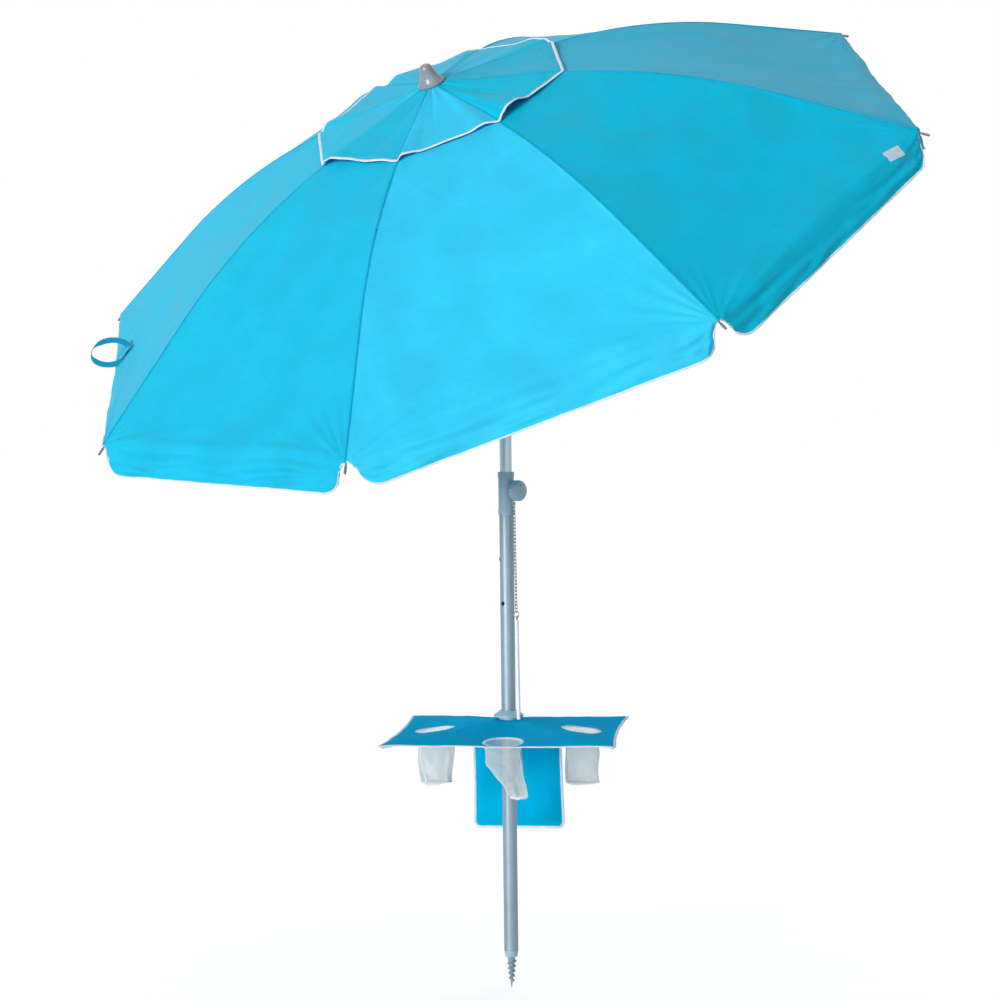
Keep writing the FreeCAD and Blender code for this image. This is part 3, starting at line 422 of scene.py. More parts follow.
def tape(path, normals, width, thick, closed=False, pucker=0.0, seed=0):
    """Points, faces and UV of a flat tape with rounded edges that follows a path on a surface."""
    ring = []
    for i in range(10):
        c, s = math.cos(2 * math.pi * i / 10), math.sin(2 * math.pi * i / 10)
        ring.append((math.copysign(abs(c) ** 0.6, c) * width / 2,
                     math.copysign(abs(s) ** 0.7, s) * thick / 2))
    at = along_path(path)
    swell = 1 + pucker * rough(0.011, seed, at, seed, 0.5)
    lift = pucker * 0.25 * width * rough(0.017, seed + 3, at, 0.3, seed)
    return sweep(path, unit(normals), ring, closed, swell, lift)


def bound(name, path, normals, width, thick, pucker, seed, closed=False):
    parts = tape(path, normals, width, thick, closed, pucker, seed)
    return make_piece(name, *parts, "binding")


def joined(parts):
    """One set of points, faces and UV from several."""
    faces, offset = [], 0
    for points, some, _ in parts:
        faces += [[i + offset for i in f] for f in some]
        offset += len(points)
    return np.vstack([part[0] for part in parts]), faces, np.vstack([part[2] for part in parts])


# ------------------------------------------------------------------ canopy cloth
CANOPY = np.column_stack([(1, 0, 0), np.cross(UP, (1, 0, 0)), UP])  # the canopy's own axes
Z = np.array([0, 0, 1.0])
RIBS = 8
STEP = 2 * math.pi / RIBS
HALF_SINE, HALF_COSINE = math.sin(STEP / 2), math.cos(STEP / 2)
PHASE = math.radians(18.0)
ROOT_SLOPE, TIP_SLOPE = math.radians(9.18), math.radians(29.83)
BEND_START, BEND_END = 0.2558, 0.718
BEND = (BEND_END - BEND_START) / (math.sin(TIP_SLOPE) - math.sin(ROOT_SLOPE))
RIM, RIM_HEIGHT = 0.980, 0.085
HALF_RIM = RIM * HALF_SINE
VENT, FLEX, CAP_START, CAP, CAP_LIFT = 0.150, 0.4943, 0.019, 0.293, 0.003
CLOTH_THICK = 0.0006
FLAP, FLAP_INSET, FLAP_ROWS = 0.061, 0.013, 14
FLAP_CORNER, FLAP_CORNER_RISE = 0.042, 0.040
# Each flap's slope in degrees, since the canopy leans and they hang down, then how much its edge
# flutters, how strong its panel's creases are, and how far its two lower corners curl.
FLAP_SLOPES = [84, 80, 78, 72, 73, 60, 61, 72]
FLUTTER = [0.35, 0.7, 0.9, 0.7, 0.35, 1.1, 1.0, 0.7]
CREASING = [1.0, 1.0, 1.0, 1.0, 1.0, 1.55, 1.25, 0.85]
CURLS = [(0.9, 0.1), (0.1, 0.5), (0.4, 0.0), (0.0, 0.3),
         (0.2, 0.4), (0.15, 0.25), (0.1, 0.9), (0.3, 0.35)]
# The strip of two gores beside the tilted pole is a zone of its own, which folds away further.
PASS_PANEL, PASS_END = 5, 0.66
# The radii that each zone spans.
SPANS = {"outer": (FLEX, RIM), "inner": (VENT, FLEX), "cap": (CAP_START, CAP),
         "pass": (FLEX, PASS_END)}
# The share of its width round the canopy that each zone keeps when the umbrella is folded.
KEEP = {"outer": 0.10, "inner": 0.16, "cap": 0.21, "pass": 0.03}
# Long creases that run up the panel from each rib tip.
LONG_CREASES = dict(count=4, low=-7.0, high=17.0, size=0.0030, width=0.9, lengths=(0.16, 0.36))
# Height above the rim, half width and rise of each long fold along the rim, in metres.
SWAGS = [
    [(0.016, 0.010, -0.0020), (-0.012, 0.012, 0.0052), (-0.034, 0.008, -0.0034),
     (-0.052, 0.007, 0.0018)],
    [(0.004, 0.012, 0.0024), (-0.024, 0.011, -0.0038), (-0.046, 0.010, 0.0024)],
    [(0.014, 0.009, 0.0036), (-0.004, 0.008, -0.0044), (-0.024, 0.010, 0.0050),
     (-0.043, 0.008, -0.0042)],
]


def compass(place):
    """The ways out to a rib and round from it, in the canopy's axes; halves are panel middles."""
    angle = PHASE + STEP * place
    c, s = math.cos(angle), math.sin(angle)
    return np.array([c, s, 0.0]), np.array([-s, c, 0.0])


def bend_sine(r):
    """The sine of a rib's slope at each radius."""
    return math.sin(TIP_SLOPE) - (BEND_END - np.clip(r, BEND_START, BEND_END)) / BEND


def rib_height(r):
    r = np.asarray(r, float)
    straight = RIM_HEIGHT + (RIM - r) * math.tan(TIP_SLOPE)
    height = RIM_HEIGHT + (RIM - BEND_END) * math.tan(TIP_SLOPE)
    height += BEND * (np.sqrt(1 - bend_sine(r) ** 2) - math.cos(TIP_SLOPE))
    height += np.maximum(0.0, BEND_START - r) * math.tan(ROOT_SLOPE)
    return np.where(r >= BEND_END, straight, height)


def to_row(points):
    return np.asarray(points) @ CANOPY.T + HINGE


def off_rib(share, reach):
    """0 at the ribs, and 1 from that distance along the rim on."""
    return smooth(np.minimum(share, 1 - share) * 2 * HALF_RIM / reach)


def creases(along, up, seed, count=7, low=-35.0, high=64.0, size=0.0074, width=2.2,
            lengths=(0.040, 0.15)):
    """Narrow folds that fan out, between two angles, from a point where the cloth is tied down."""
    dice = random.Random(seed)
    distance = np.hypot(along, up) + 1e-6
    angle = np.degrees(np.arctan2(up, along))
    grow = distance / (distance + 0.020)
    total = np.zeros_like(distance)
    for i in range(count):
        centre = low + (high - low) * (i + dice.uniform(0.15, 0.85)) / count
        half, reach = dice.uniform(1.0, 2.1) * width, dice.uniform(*lengths)
        height = dice.uniform(0.4, 1.0) * size
        spread = np.hypot(half, np.degrees(0.0022 / (distance + 0.010)))
        fold = height * np.exp(-((angle - centre) / spread) ** 2)
        total += fold * grow * np.exp(-distance / reach)
    return total


def swags(panel, share, along, up):
    """Long soft folds that hang between the rib tips, along the rim and down the flap."""
    wander = rough(0.16, 31, along, 0.5, panel * 2.3) * 0.0085
    total = np.zeros_like(along)
    for i, (centre, half, height) in enumerate(SWAGS[panel % len(SWAGS)]):
        strength = np.clip(0.75 + 0.8 * rough(0.11, 33, along, i * 3.1, panel * 1.3), 0.1, 1.4)
        total += height * strength * np.exp(-((up - wander * (1 + 0.5 * i) - centre) / half) ** 2)
    return total * off_rib(share, 0.14)


# A panel's soft unevenness, its small one and its streaks: size, seed, share of the height,
# distance from one panel's place to the next one's, and how far the cloth stands off.
PANEL_NOISE = ((0.11, 3, 0.45, 1.7, 0.0026), (0.036, 5, 0.6, 2.9, 0.0010),
               (0.030, 7, 0.16, 4.3, 0.0009))
SAG, SAG_START, SAG_END, STREAKS_END, FADE, RIB_GRIP = 0.006, 0.12, 0.80, 0.34, 0.3, 0.016


def panel_relief(panel, share, along, up):
    """How far a panel's cloth stands off straight lines: sag, creases, folds and unevenness."""
    soft, small, streaks = [rough(size, seed, along, up * tall, panel * apart) * height
                            for size, seed, tall, apart, height in PANEL_NOISE]
    small = small + streaks * smooth((STREAKS_END - up) / FADE)
    ends = HALF_RIM + along, HALF_RIM - along
    near = sum(creases(x, up, seed + panel) for x, seed in zip(ends, (40, 60))) * CREASING[panel]
    for x, seed in zip(ends, (140, 160)):
        near = near + creases(x, up, seed + panel, **LONG_CREASES)
    near = near + swags(panel, share, along, up)
    sag = -SAG * np.sin(math.pi * share) * smooth(up / SAG_START) * smooth((SAG_END - up) / FADE)
    return (soft + small + near) * off_rib(share, RIB_GRIP) + sag


def half_marks():
    """Shares of the way across a panel, from a rib to the middle, closer together near the rib."""
    marks, step = [0.0], 0.003
    while marks[-1] + step < HALF_RIM - 0.004:
        marks.append(marks[-1] + step)
        if marks[-1] > 0.045:
            step = min(0.014, step * 1.05)
    return np.array(marks[:-1] + [HALF_RIM]) / (2 * HALF_RIM)


HALF = half_marks()
SHARES = np.concatenate([HALF, 1 - HALF[-2::-1]])
MIDDLE = len(HALF) - 1


def panel_normal(panel, r):
    """The normal at each radius of a panel made of straight lines from rib to rib."""
    fall = np.arctan(np.tan(np.arcsin(bend_sine(r))) / HALF_COSINE)
    out = compass(panel + 0.5)[0]
    return np.multiply.outer(np.sin(fall), out) + np.multiply.outer(np.cos(fall), Z)


def raised(panel, r, relief):
    """One panel's grid of points: straight lines from rib to rib, raised by the relief."""
    ends = [np.multiply.outer(r, compass(panel + i)[0])[:, None] for i in (0, 1)]
    flat = ends[0] * (1 - SHARES)[:, None] + ends[1] * SHARES[:, None]
    flat[..., 2] += rib_height(r)[:, None]
    return flat + panel_normal(panel, r)[:, None] * relief[..., None]


def sector(panel, column):
    return panel if column < MIDDLE else (panel + 1) % RIBS


class Cloth:
    """One whole cloth, from which the pieces for the sectors are cut."""

    def __init__(self):
        self.points, self.uv, self.faces, self.owner = [], [], [], []

    def add(self, points, uv):
        """Adds a grid of points, and returns the grid of their numbers."""
        first = len(self.points)
        self.points.extend(points.reshape(-1, 3))
        self.uv.extend(uv.reshape(-1, 2))
        return np.arange(first, len(self.points)).reshape(points.shape[:-1])

    def weave(self, panel, ids, zones, first=0):
        """Adds a grid's faces, with a zone for each row and its first column on the panel."""
        self.faces += quads(ids)
        columns = range(first, first + ids.shape[1] - 1)
        self.owner += [(zone, sector(panel, column)) for zone in zones for column in columns]

    def close(self):
        self.points = to_row(np.array(self.points))
        self.uv = np.array(self.uv)
        self.normals = corner_normals(self.points, self.faces)


def wrapped(ids):
    """Each panel's grid of point numbers, ended by the next panel's first column."""
    return [np.column_stack([own, after[:, 0]]) for own, after in zip(ids, ids[1:] + ids[:1])]


def main_radii():
    """The rows of the canopy's points, and which of them is at the ribs' flex point."""
    inner = np.linspace(VENT, FLEX, 26)
    outer = np.concatenate([np.linspace(FLEX, 0.84, 25)[1:], np.linspace(0.84, RIM, 32)[1:]])
    return np.concatenate([inner, outer]), len(inner) - 1


def slope_length(r):
    """Distance up the panel's middle from the rim."""
    marks = np.linspace(RIM, 0.0, 400)
    x, z = marks * HALF_COSINE, rib_height(marks)
    at = np.concatenate([[0.0], np.cumsum(np.hypot(np.diff(x), np.diff(z)))])
    return np.interp(-np.asarray(r), -marks, at)


def rounded(panel, share, s):
    """Moves out and up at the rim, so that the cloth turns down softly into its flap."""
    above = math.atan(math.tan(TIP_SLOPE) / HALF_COSINE)
    below = math.radians(FLAP_SLOPES[panel])
    reach = 0.010 + 0.026 * np.sin(math.pi * share)
    t = np.clip((s + reach) / (2 * reach), 0, 1)
    amount = np.minimum(t, 1 - t) ** 2 * reach * off_rib(share, 0.05)
    moves = math.cos(below) - math.cos(above), math.sin(above) - math.sin(below)
    return [amount * move for move in moves]


def build_main():
    """The whole canopy with its flaps, and each panel's and flap's grid of point numbers."""
    whole = Cloth()
    radii, flex = main_radii()
    share, up = np.meshgrid(SHARES, slope_length(radii))
    along = np.multiply.outer(radii * HALF_SINE, 2 * SHARES - 1)
    ids, flaps = [], []
    for panel in range(RIBS):
        grid = raised(panel, radii, panel_relief(panel, share, along, up))
        shift, fall = rounded(panel, share, -up)
        grid += shift[..., None] * compass(panel + 0.5)[0] + fall[..., None] * Z
        uv = np.dstack([along + panel * PANEL_PITCH, 1.0 - up])
        ids.append(whole.add(grid[:, :-1], uv[:, :-1]))
        flaps.append(add_flap(whole, panel))
    ids = wrapped(ids)
    for panel in range(RIBS):
        pass_end = PASS_END if panel == PASS_PANEL else 0.0
        zones = ["inner"] * flex + ["pass" if r < pass_end else "outer" for r in radii[flex + 1:]]
        whole.weave(panel, ids[panel], zones)
        flaps[panel] = np.vstack([ids[panel][-1, 1:-1], flaps[panel]])
        whole.weave(panel, flaps[panel], ["outer"] * FLAP_ROWS, 1)
    whole.close()
    return whole, ids, flex, flaps


def flap_points(panel, share, x, f, t):
    """Points of a flap's cloth, x along the rim and f, which is a share t of its depth, down."""
    out, slope = compass(panel + 0.5)[0], math.radians(FLAP_SLOPES[panel])
    down = out * math.cos(slope) - Z * math.sin(slope)
    normal = out * math.sin(slope) + Z * math.cos(slope)
    ends = compass(panel)[0], compass(panel + 1)[0]
    middle = (ends[0] + ends[1]) * RIM / 2 + Z * RIM_HEIGHT
    flutter = rough(0.080, 11, x, 0.4 * t, panel * 3.3) * 0.0120
    flutter += rough(0.032, 12, x, 0.3, panel * 1.9) * 0.0040
    lift = panel_relief(panel, share, x, -f) + FLUTTER[panel] * flutter * (f / FLAP) ** 1.1
    for side, amount in zip((-1, 1), CURLS[panel]):
        beyond = np.clip(side * x - (HALF_RIM - 0.030) + (f - 0.028) * 0.55, 0, 0.03)
        lift -= amount * beyond * smooth(beyond / 0.006)
    shift, fall = rounded(panel, share, f)
    at = middle + x[:, None] * unit(ends[1] - ends[0]) + f[:, None] * down + normal * lift[:, None]
    return at + shift[:, None] * out + fall[:, None] * Z


def add_flap(whole, panel):
    """Rows of points below the rim, with sides that lean in and rounded lower corners."""
    share = SHARES[1:-1]
    along = (2 * share - 1) * HALF_RIM
    first = abs(along[0])
    grid, uvs = [], []
    for t in np.linspace(0, 1, FLAP_ROWS + 1)[1:]:
        lean = (HALF_RIM - first) + FLAP_INSET * t ** 0.8
        x = along - np.sign(along) * lean * smooth((np.abs(along) - (first - 0.07)) / 0.07) ** 2
        from_corner = np.clip(1 - (first - lean - np.abs(x)) / FLAP_CORNER, 0, 1)
        f = t * (FLAP - FLAP_CORNER_RISE * (1 - np.sqrt(np.maximum(1 - from_corner ** 2, 0.0))))
        grid.append(flap_points(panel, share, x, f, t))
        uvs.append(np.column_stack([x + panel * PANEL_PITCH, 1.0 + f]))
    return whole.add(np.array(grid), np.array(uvs))


def dress(piece, body, keep):
    """The piece rides on its rib, and one that keeps less than its whole width gets a mesh of its own."""
    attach(piece, body)
    if keep < 1:
        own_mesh(piece)
    return piece


SEAM = (0.0005, 0.0052, 0.0016, 0.012, 0.10, 0)
# Tapes on the cloth: lift, width, thickness, spacing of points, pucker, and the first rib's seed.
SEWN = {
    "seam_inner": SEAM, "seam_outer": SEAM,
    "flap_hem": (0.0, 0.0044, 0.0018, 0.005, 0.14, 0),
    "cap_seam": (0.0004, 0.0042, 0.0014, 0.010, 0.10, 30),
    "cap_hem": (0.0003, 0.0064, 0.0024, 0.006, 0.16, 50),
}


def sew(whole, name, runs, body, rib, zone):
    """A seam, or a hem's white binding, along runs of a cloth's points."""
    lift, width, thick, spacing, pucker, seed = SEWN[name]
    parts = []
    for i, run in enumerate(runs):
        path, normals = resample(whole.points[run], whole.normals[run], spacing)
        normals = unit(normals)
        path = path + normals * lift
        parts.append(tape(path, normals, width, thick, False, pucker, seed + rib + 9 * i))
    look, keep, slot = "seam", 1.0, "canopy_cloth"
    if "hem" in name:
        look, keep, slot = "binding", KEEP[zone], "label_cloth"
    piece = make_piece(name + "_" + str(rib + 1), *joined(parts), look)
    return dress(piece, body, keep)


def gore(whole, name, zone, rib, **sewn):
    """One sector's cloth in a zone, with what is sewn on it along runs of points.

    It works out its length down the slope, with the flap's depth for the outer zone, but does nothing with it.
    """
    tag = str(rib + 1)
    body = ("rib_out_" if zone in ("outer", "pass") else "rib_in_") + tag
    faces = [f for f, owner in zip(whole.faces, whole.owner) if owner == (zone, rib)]
    piece = two_sided(name + "_" + tag, whole.points, faces, whole.normals, whole.uv, CLOTH_THICK,
                      "canopy")
    dress(piece, body, KEEP[zone])
    trims = [sew(whole, kind, runs, body, rib, zone) for kind, runs in sewn.items()]
    start, end = SPANS[zone]
    length = float(slope_length(start) - slope_length(end)) + (FLAP if zone == "outer" else 0)


def make_canopy():
    whole, ids, flex, flaps = build_main()
    edges = [[] for rib in range(RIBS)]
    for panel, flap in enumerate(flaps):
        edges[panel].append([*flap[:, 0], *flap[-1, 1:MIDDLE]])
        edges[(panel + 1) % RIBS].append([*flap[:, -1], *flap[-1, -2:MIDDLE - 2:-1]])
    for rib in range(RIBS):
        column = ids[rib][:, 0]
        gore(whole, "canopy_inner", "inner", rib, seam_inner=[column[:flex + 1]])
        gore(whole, "canopy_outer", "outer", rib, seam_outer=[column[flex:]], flap_hem=edges[rib])
        if ("pass", rib) in whole.owner:
            gore(whole, "canopy_pass", "pass", rib)
    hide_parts("canopy")
    return whole


# ------------------------------------------------------------------ vent cap
# How many millimetres the cap's edge stands up at shares of the way from one rib to the next.
CAP_WAVES = [
    [(0, 0), (0.12, 3), (0.35, 1), (0.7, 4), (0.9, 7), (1, 0)],
    [(0, 0), (0.08, 9), (0.22, 12), (0.5, 3), (0.85, 2), (1, 0)],
    [(0, 0), (0.1, 6), (0.4, 2), (0.65, 10), (0.85, 12), (1, 0)],
    [(0, 0), (0.12, 12), (0.3, 8), (0.6, 3), (0.88, 10), (1, 0)],
    [(0, 0), (0.1, 8), (0.3, 9), (0.6, 5), (0.9, 4), (1, 0)],
    [(0, 0), (0.07, 12), (0.16, 17), (0.36, 14), (0.62, 4), (0.82, 5), (1, 0)],
    [(0, 0), (0.06, 10), (0.12, 8), (0.25, 2), (0.7, 1), (0.86, 7), (1, 0)],
    [(0, 0), (0.07, 11), (0.15, 18), (0.26, 18), (0.48, 3), (0.8, 1), (1, 0)],
]
# Creases that run inwards from the cap's rim at each rib.
RIM_CREASES = dict(count=3, low=5, high=60, size=0.002)


def crown_folds(panel, share, radius):
    """Short pleats that spread out from the finial over the cap."""
    dice = random.Random(300 + panel)
    total = np.zeros_like(radius)
    for i in range(4):
        centre = (i + dice.uniform(0.25, 0.75)) / 4
        half, reach = dice.uniform(0.035, 0.075), dice.uniform(0.06, 0.20)
        height = dice.uniform(0.5, 1.0) * 0.0030 * dice.choice((1, 1, -1))
        total += height * np.exp(-((share - centre) / half) ** 2) * np.exp(-(radius / reach) ** 2)
    return total * smooth((radius - 0.020) / 0.030)


CAP_FLAT, WAVE_GROWTH, PLEAT_SIZE, PLEAT, CAP_HOLLOW = 0.045, 1.25, 0.20, 0.0014, 0.0030


def cap_relief(panel, share, radius, along):
    """How far one panel of the cap stands off straight lines from rib to rib."""
    gap = np.minimum(share, 1 - share) * 2 * radius * HALF_SINE
    table = np.array(CAP_WAVES[panel])
    step = np.clip(np.searchsorted(table[:, 0], share, "right") - 1, 0, len(table) - 2)
    eased = smooth((share - table[step, 0]) / (table[step + 1, 0] - table[step, 0]))
    wave = (table[step, 1] * (1 - eased) + table[step + 1, 1] * eased) * 0.001
    wave = wave * np.clip((radius - CAP_FLAT) / (CAP - CAP_FLAT), 0, 1) ** WAVE_GROWTH
    pleat = rough(PLEAT_SIZE, 22, share * 0.8, radius, panel * 4.1) * PLEAT
    pleat = pleat * smooth(gap / 0.02) * smooth(radius / 0.12)
    hollow = -CAP_HOLLOW * np.sin(math.pi * share)
    hollow = hollow * smooth((radius - 0.03) / 0.08) * smooth((0.28 - radius) / 0.10)
    ends = CAP * HALF_SINE + along, CAP * HALF_SINE - along
    fine = sum(creases(x, CAP - radius, seed + panel, **RIM_CREASES)
               for x, seed in zip(ends, (80, 90)))
    fine += crown_folds(panel, share, radius)
    return CAP_LIFT + wave + pleat + hollow + fine * smooth(gap / 0.010)


def make_cap():
    """The small top canopy, tied down at the ribs and free to lift between them."""
    whole = Cloth()
    radii = np.concatenate([np.linspace(CAP_START, 0.24, 20), np.linspace(0.24, CAP, 13)[1:]])
    along = np.multiply.outer(radii * HALF_SINE, 2 * SHARES - 1)
    share, radius = np.meshgrid(SHARES, radii)
    ids = []
    for panel in range(RIBS):
        grid = raised(panel, radii, cap_relief(panel, share, radius, along))
        # Two whole turns on in UV, so that each cap panel takes its panel's painted shade tone.
        uv = np.dstack([along + (panel + 2 * RIBS) * PANEL_PITCH, radius])
        ids.append(whole.add(grid[:, :-1], uv[:, :-1]))
    ids = wrapped(ids)
    for panel in range(RIBS):
        whole.weave(panel, ids[panel], ["cap"] * (len(radii) - 1))
    whole.close()
    for rib in range(RIBS):
        rim = [*ids[rib - 1][-1, MIDDLE:], *ids[rib][-1, 1:MIDDLE + 1]]
        gore(whole, "vent_cap", "cap", rib, cap_seam=[ids[rib][:, 0]], cap_hem=[rim])
    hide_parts("vent_cap")


main_cloth = make_canopy()
make_cap()


# ------------------------------------------------------------------ strap loop and blank label
def cloth_points(panel, share, r, lift):
    """Points over one panel's cloth, with their normals, in the row frame."""
    share, r = np.asarray(share)[:, None], np.asarray(r)[:, None]
    up = slope_length(r)
    at = compass(panel)[0] * r * (1 - share) + compass(panel + 1)[0] * r * share + rib_height(r) * Z
    relief = panel_relief(panel, share, r * HALF_SINE * (2 * share - 1), up)
    shift, fall = rounded(panel, share, -up)
    at = at + (shift * compass(panel + 0.5)[0] + fall * Z)
    normals = panel_normal(panel, r[:, 0])
    return to_row(at + normals * (relief + lift)), normals @ CANOPY.T


def turned_grid(width, length, turn, columns, rows):
    """Flat places of a small turned grid of points, and the faces between them."""
    u = np.tile(np.linspace(-0.5, 0.5, columns) * width, rows)
    v = np.repeat(np.linspace(-0.5, 0.5, rows) * length, columns)
    c, s = math.cos(turn), math.sin(turn)
    return u * c - v * s, u * s + v * c, quads(np.arange(rows * columns).reshape(rows, columns))


def stitch_row(start, end, normal, count, thick=0.0005):
    """Short raised stitches in a row."""
    parts = []
    for i in range(count):
        a = start + (end - start) * (i + 0.15) / count
        b = start + (end - start) * (i + 0.80) / count
        up = normal * thick * 0.6
        run = np.array([a, a * 0.75 + b * 0.25 + up, a * 0.25 + b * 0.75 + up, b])
        parts.append(tape(run, np.repeat(normal[None, :], 4, 0), thick * 1.4, thick))
    return joined(parts)


STRAP_PANEL, STRAP_SHARE, STRAP_RADIUS = 4, 0.46, 0.921
STRAP_REACH, STRAP_OPENING, STRAP_WIDTH, STRAP_THICK = 0.0425, 0.027, 0.0125, 0.0014
STRAP_LIFT, TAB_LIFT, TAB_STITCH_LIFT = 0.0022, 0.0016, 0.0008
TAB_WIDTH, TAB_LENGTH, TAB_TURN, TAB_COLUMNS, TAB_ROWS = 0.014, 0.026, math.radians(20), 8, 12


def make_strap():
    out = CANOPY @ compass(STRAP_PANEL + 0.5)[0]
    normal = CANOPY @ panel_normal(STRAP_PANEL, [0.95])[0]
    seat = cloth_points(STRAP_PANEL, [STRAP_SHARE], [STRAP_RADIUS], STRAP_LIFT)
    seat, seat_normal = seat[0][0], seat[1][0]
    major = unit(out * 0.85 + normal * 0.25)
    axis = unit(np.cross(major, (0, 0, -1.0)))
    minor = np.cross(axis, major)
    turn = np.radians(np.linspace(14, 346, 90))
    c, s = np.cos(turn), np.sin(turn)
    path = seat + np.outer(STRAP_REACH * (1 - c), major) + np.outer(STRAP_OPENING * s, minor)
    radial = unit(np.outer(-c / STRAP_REACH, major) + np.outer(s / STRAP_OPENING, minor))
    twist = np.radians(86) * np.exp(-((np.degrees(turn) - 200) / 42.0) ** 2)
    face = np.outer(np.cos(twist), axis) + radial * np.sin(twist)[:, None]
    path = path + np.outer(0.003 * np.sin(turn * 2 + 0.6), axis)
    # Where the lower strand meets the canopy it lies flat on the cloth up to its tab.
    pushed = np.maximum(0.0028 - (path - seat) @ seat_normal, 0.0)
    lying = smooth(pushed / 0.004)[:, None]
    path = path + np.outer(pushed, seat_normal)
    loop = tape(path, unit(face * (1 - lying) + seat_normal * lying), STRAP_WIDTH, STRAP_THICK,
                pucker=0.03, seed=4)
    piece = make_piece("strap_band", *loop, "strap")
    x, y, faces = turned_grid(TAB_WIDTH, TAB_LENGTH, TAB_TURN, TAB_COLUMNS, TAB_ROWS)
    share = STRAP_SHARE + x / (2 * STRAP_RADIUS * HALF_SINE)
    points, normals = cloth_points(STRAP_PANEL, share, STRAP_RADIUS + y * 0.92, TAB_LIFT)
    uv = np.column_stack([x, y])
    tab = two_sided("strap_tab", points, faces, normals, uv, STRAP_THICK, "strap")
    grid = points.reshape(TAB_ROWS, TAB_COLUMNS, 3) + seat_normal * TAB_STITCH_LIFT
    ends = [grid[3, 1], grid[3, -2], grid[9, -2], grid[9, 1]]
    rows = [stitch_row(ends[a], ends[b], seat_normal, count)
            for a, b, count in ((0, 1, 5), (1, 2, 8), (2, 3, 5), (3, 0, 8), (0, 2, 9))]
    thread = make_piece("strap_stitches", *joined(rows), "thread")
    for each in (piece, tab, thread):
        dress(each, "rib_out_5", KEEP["outer"])
    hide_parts("strap_loop")


LABEL_PANEL, LABEL_SHARE, LABEL_BELOW = 7, 0.867, -0.003
LABEL_WIDTH, LABEL_LENGTH, LABEL_THICK, LABEL_TURN = 0.046, 0.026, 0.0009, math.radians(12)
LABEL_CELLS, LABEL_LIFT, LABEL_STITCH_LIFT = 14, 0.0011, 0.0005


def make_label():
    """A blank woven label sewn over the rim, half on the panel and half on its flap."""
    x, down, faces = turned_grid(LABEL_WIDTH, LABEL_LENGTH, LABEL_TURN, LABEL_CELLS, LABEL_CELLS)
    x, down = x + HALF_RIM * (2 * LABEL_SHARE - 1), down + LABEL_BELOW
    radius = RIM + np.minimum(down, 0.0) / math.hypot(HALF_COSINE, math.tan(TIP_SLOPE))
    share, f = 0.5 + x / (2 * radius * HALF_SINE), np.maximum(down, 0.0)
    above, _ = cloth_points(LABEL_PANEL, share, radius, 0.0)
    under = to_row(flap_points(LABEL_PANEL, share, x, f, f / FLAP))
    points = np.where(down[:, None] < 0, above, under)
    normals = corner_normals(points, faces)
    if (normals @ UP).mean() < 0:
        faces, normals = [f[::-1] for f in faces], -normals
    tree = BVHTree.FromPolygons(main_cloth.points.tolist(), main_cloth.faces)
    for i, (at, normal) in enumerate(zip(points, normals)):
        hit = tree.ray_cast(Vector(at + normal * 0.02), Vector(-normal), 0.04)[0]
        if hit is not None:
            points[i] = hit
    points = points + normals * LABEL_LIFT
    uv = np.column_stack([x, down])
    piece = two_sided("blank_label", points, faces, normals, uv, LABEL_THICK, "label")
    dress(piece, "rib_out_1", KEEP["outer"])
    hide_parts("label_patch")
    grid = (points + normals * LABEL_STITCH_LIFT).reshape(LABEL_CELLS, LABEL_CELLS, 3)
    sides = [grid[1, 1:-1], grid[1:-1, -2], grid[-2, -2:0:-1], grid[-2:0:-1, 1]]
    rows = [stitch_row(a, b, normals[0], 1, 0.0004)
            for side in sides for a, b in zip(side[:-1], side[1:])]
    thread = make_piece("label_stitches", *joined(rows), "binding")
    dress(thread, "rib_out_1", KEEP["outer"])


make_strap()
make_label()


# ------------------------------------------------------------------ pole table
def middle_of(node):
    low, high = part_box(node)
    return np.array((low + high) / 2)


CUPS = {side: middle_of("cup_pocket_" + side) for side in ("left", "right", "front")}
TABLE_X = unit((CUPS["right"] - CUPS["left"]) * (1, 1, 0))
TABLE = np.column_stack([TABLE_X, np.cross((0, 0, 1), TABLE_X), (0, 0, 1)])  # the table's axes
CENTRES = {side: (TABLE.T @ place)[:2] for side, place in CUPS.items()}
HUB_HEIGHT, FALL, HALF_SIDE, EDGE_SAG, HUB_HOLE = 0.5245, 0.0305, 0.254, 0.010, 0.024
CUP, CUP_DEPTH = 0.040, 0.128
HOLES = [(centre, CUP) for centre in CENTRES.values()] + [((0, 0), HUB_HOLE)]
TABLE_THICK, GRID_STEP, GRID_REACH, SLOPE_REACH = 0.0008, 0.009, 32, 0.003
SLACK, SLACK_SPREAD, SLACK_START, FLAT_HUB = 0.0035, 1.3, 0.08, 0.03
TIGHTER, TIGHT_FROM, TIGHT_OVER = 0.55, 0.19, 0.06          # less slack along the edge
TABLE_FOLDS = ((0.085, 31, 0.2, 0.0022), (0.032, 32, 1.2, 0.0008))  # size, seed, place, depth
CUP_DIP, DIP_REACH = 0.0025, 0.018
HEM_SHRINK, RIM_OUT = 0.9965, 0.0015


def from_table(points):
    return np.asarray(points, float) @ TABLE.T


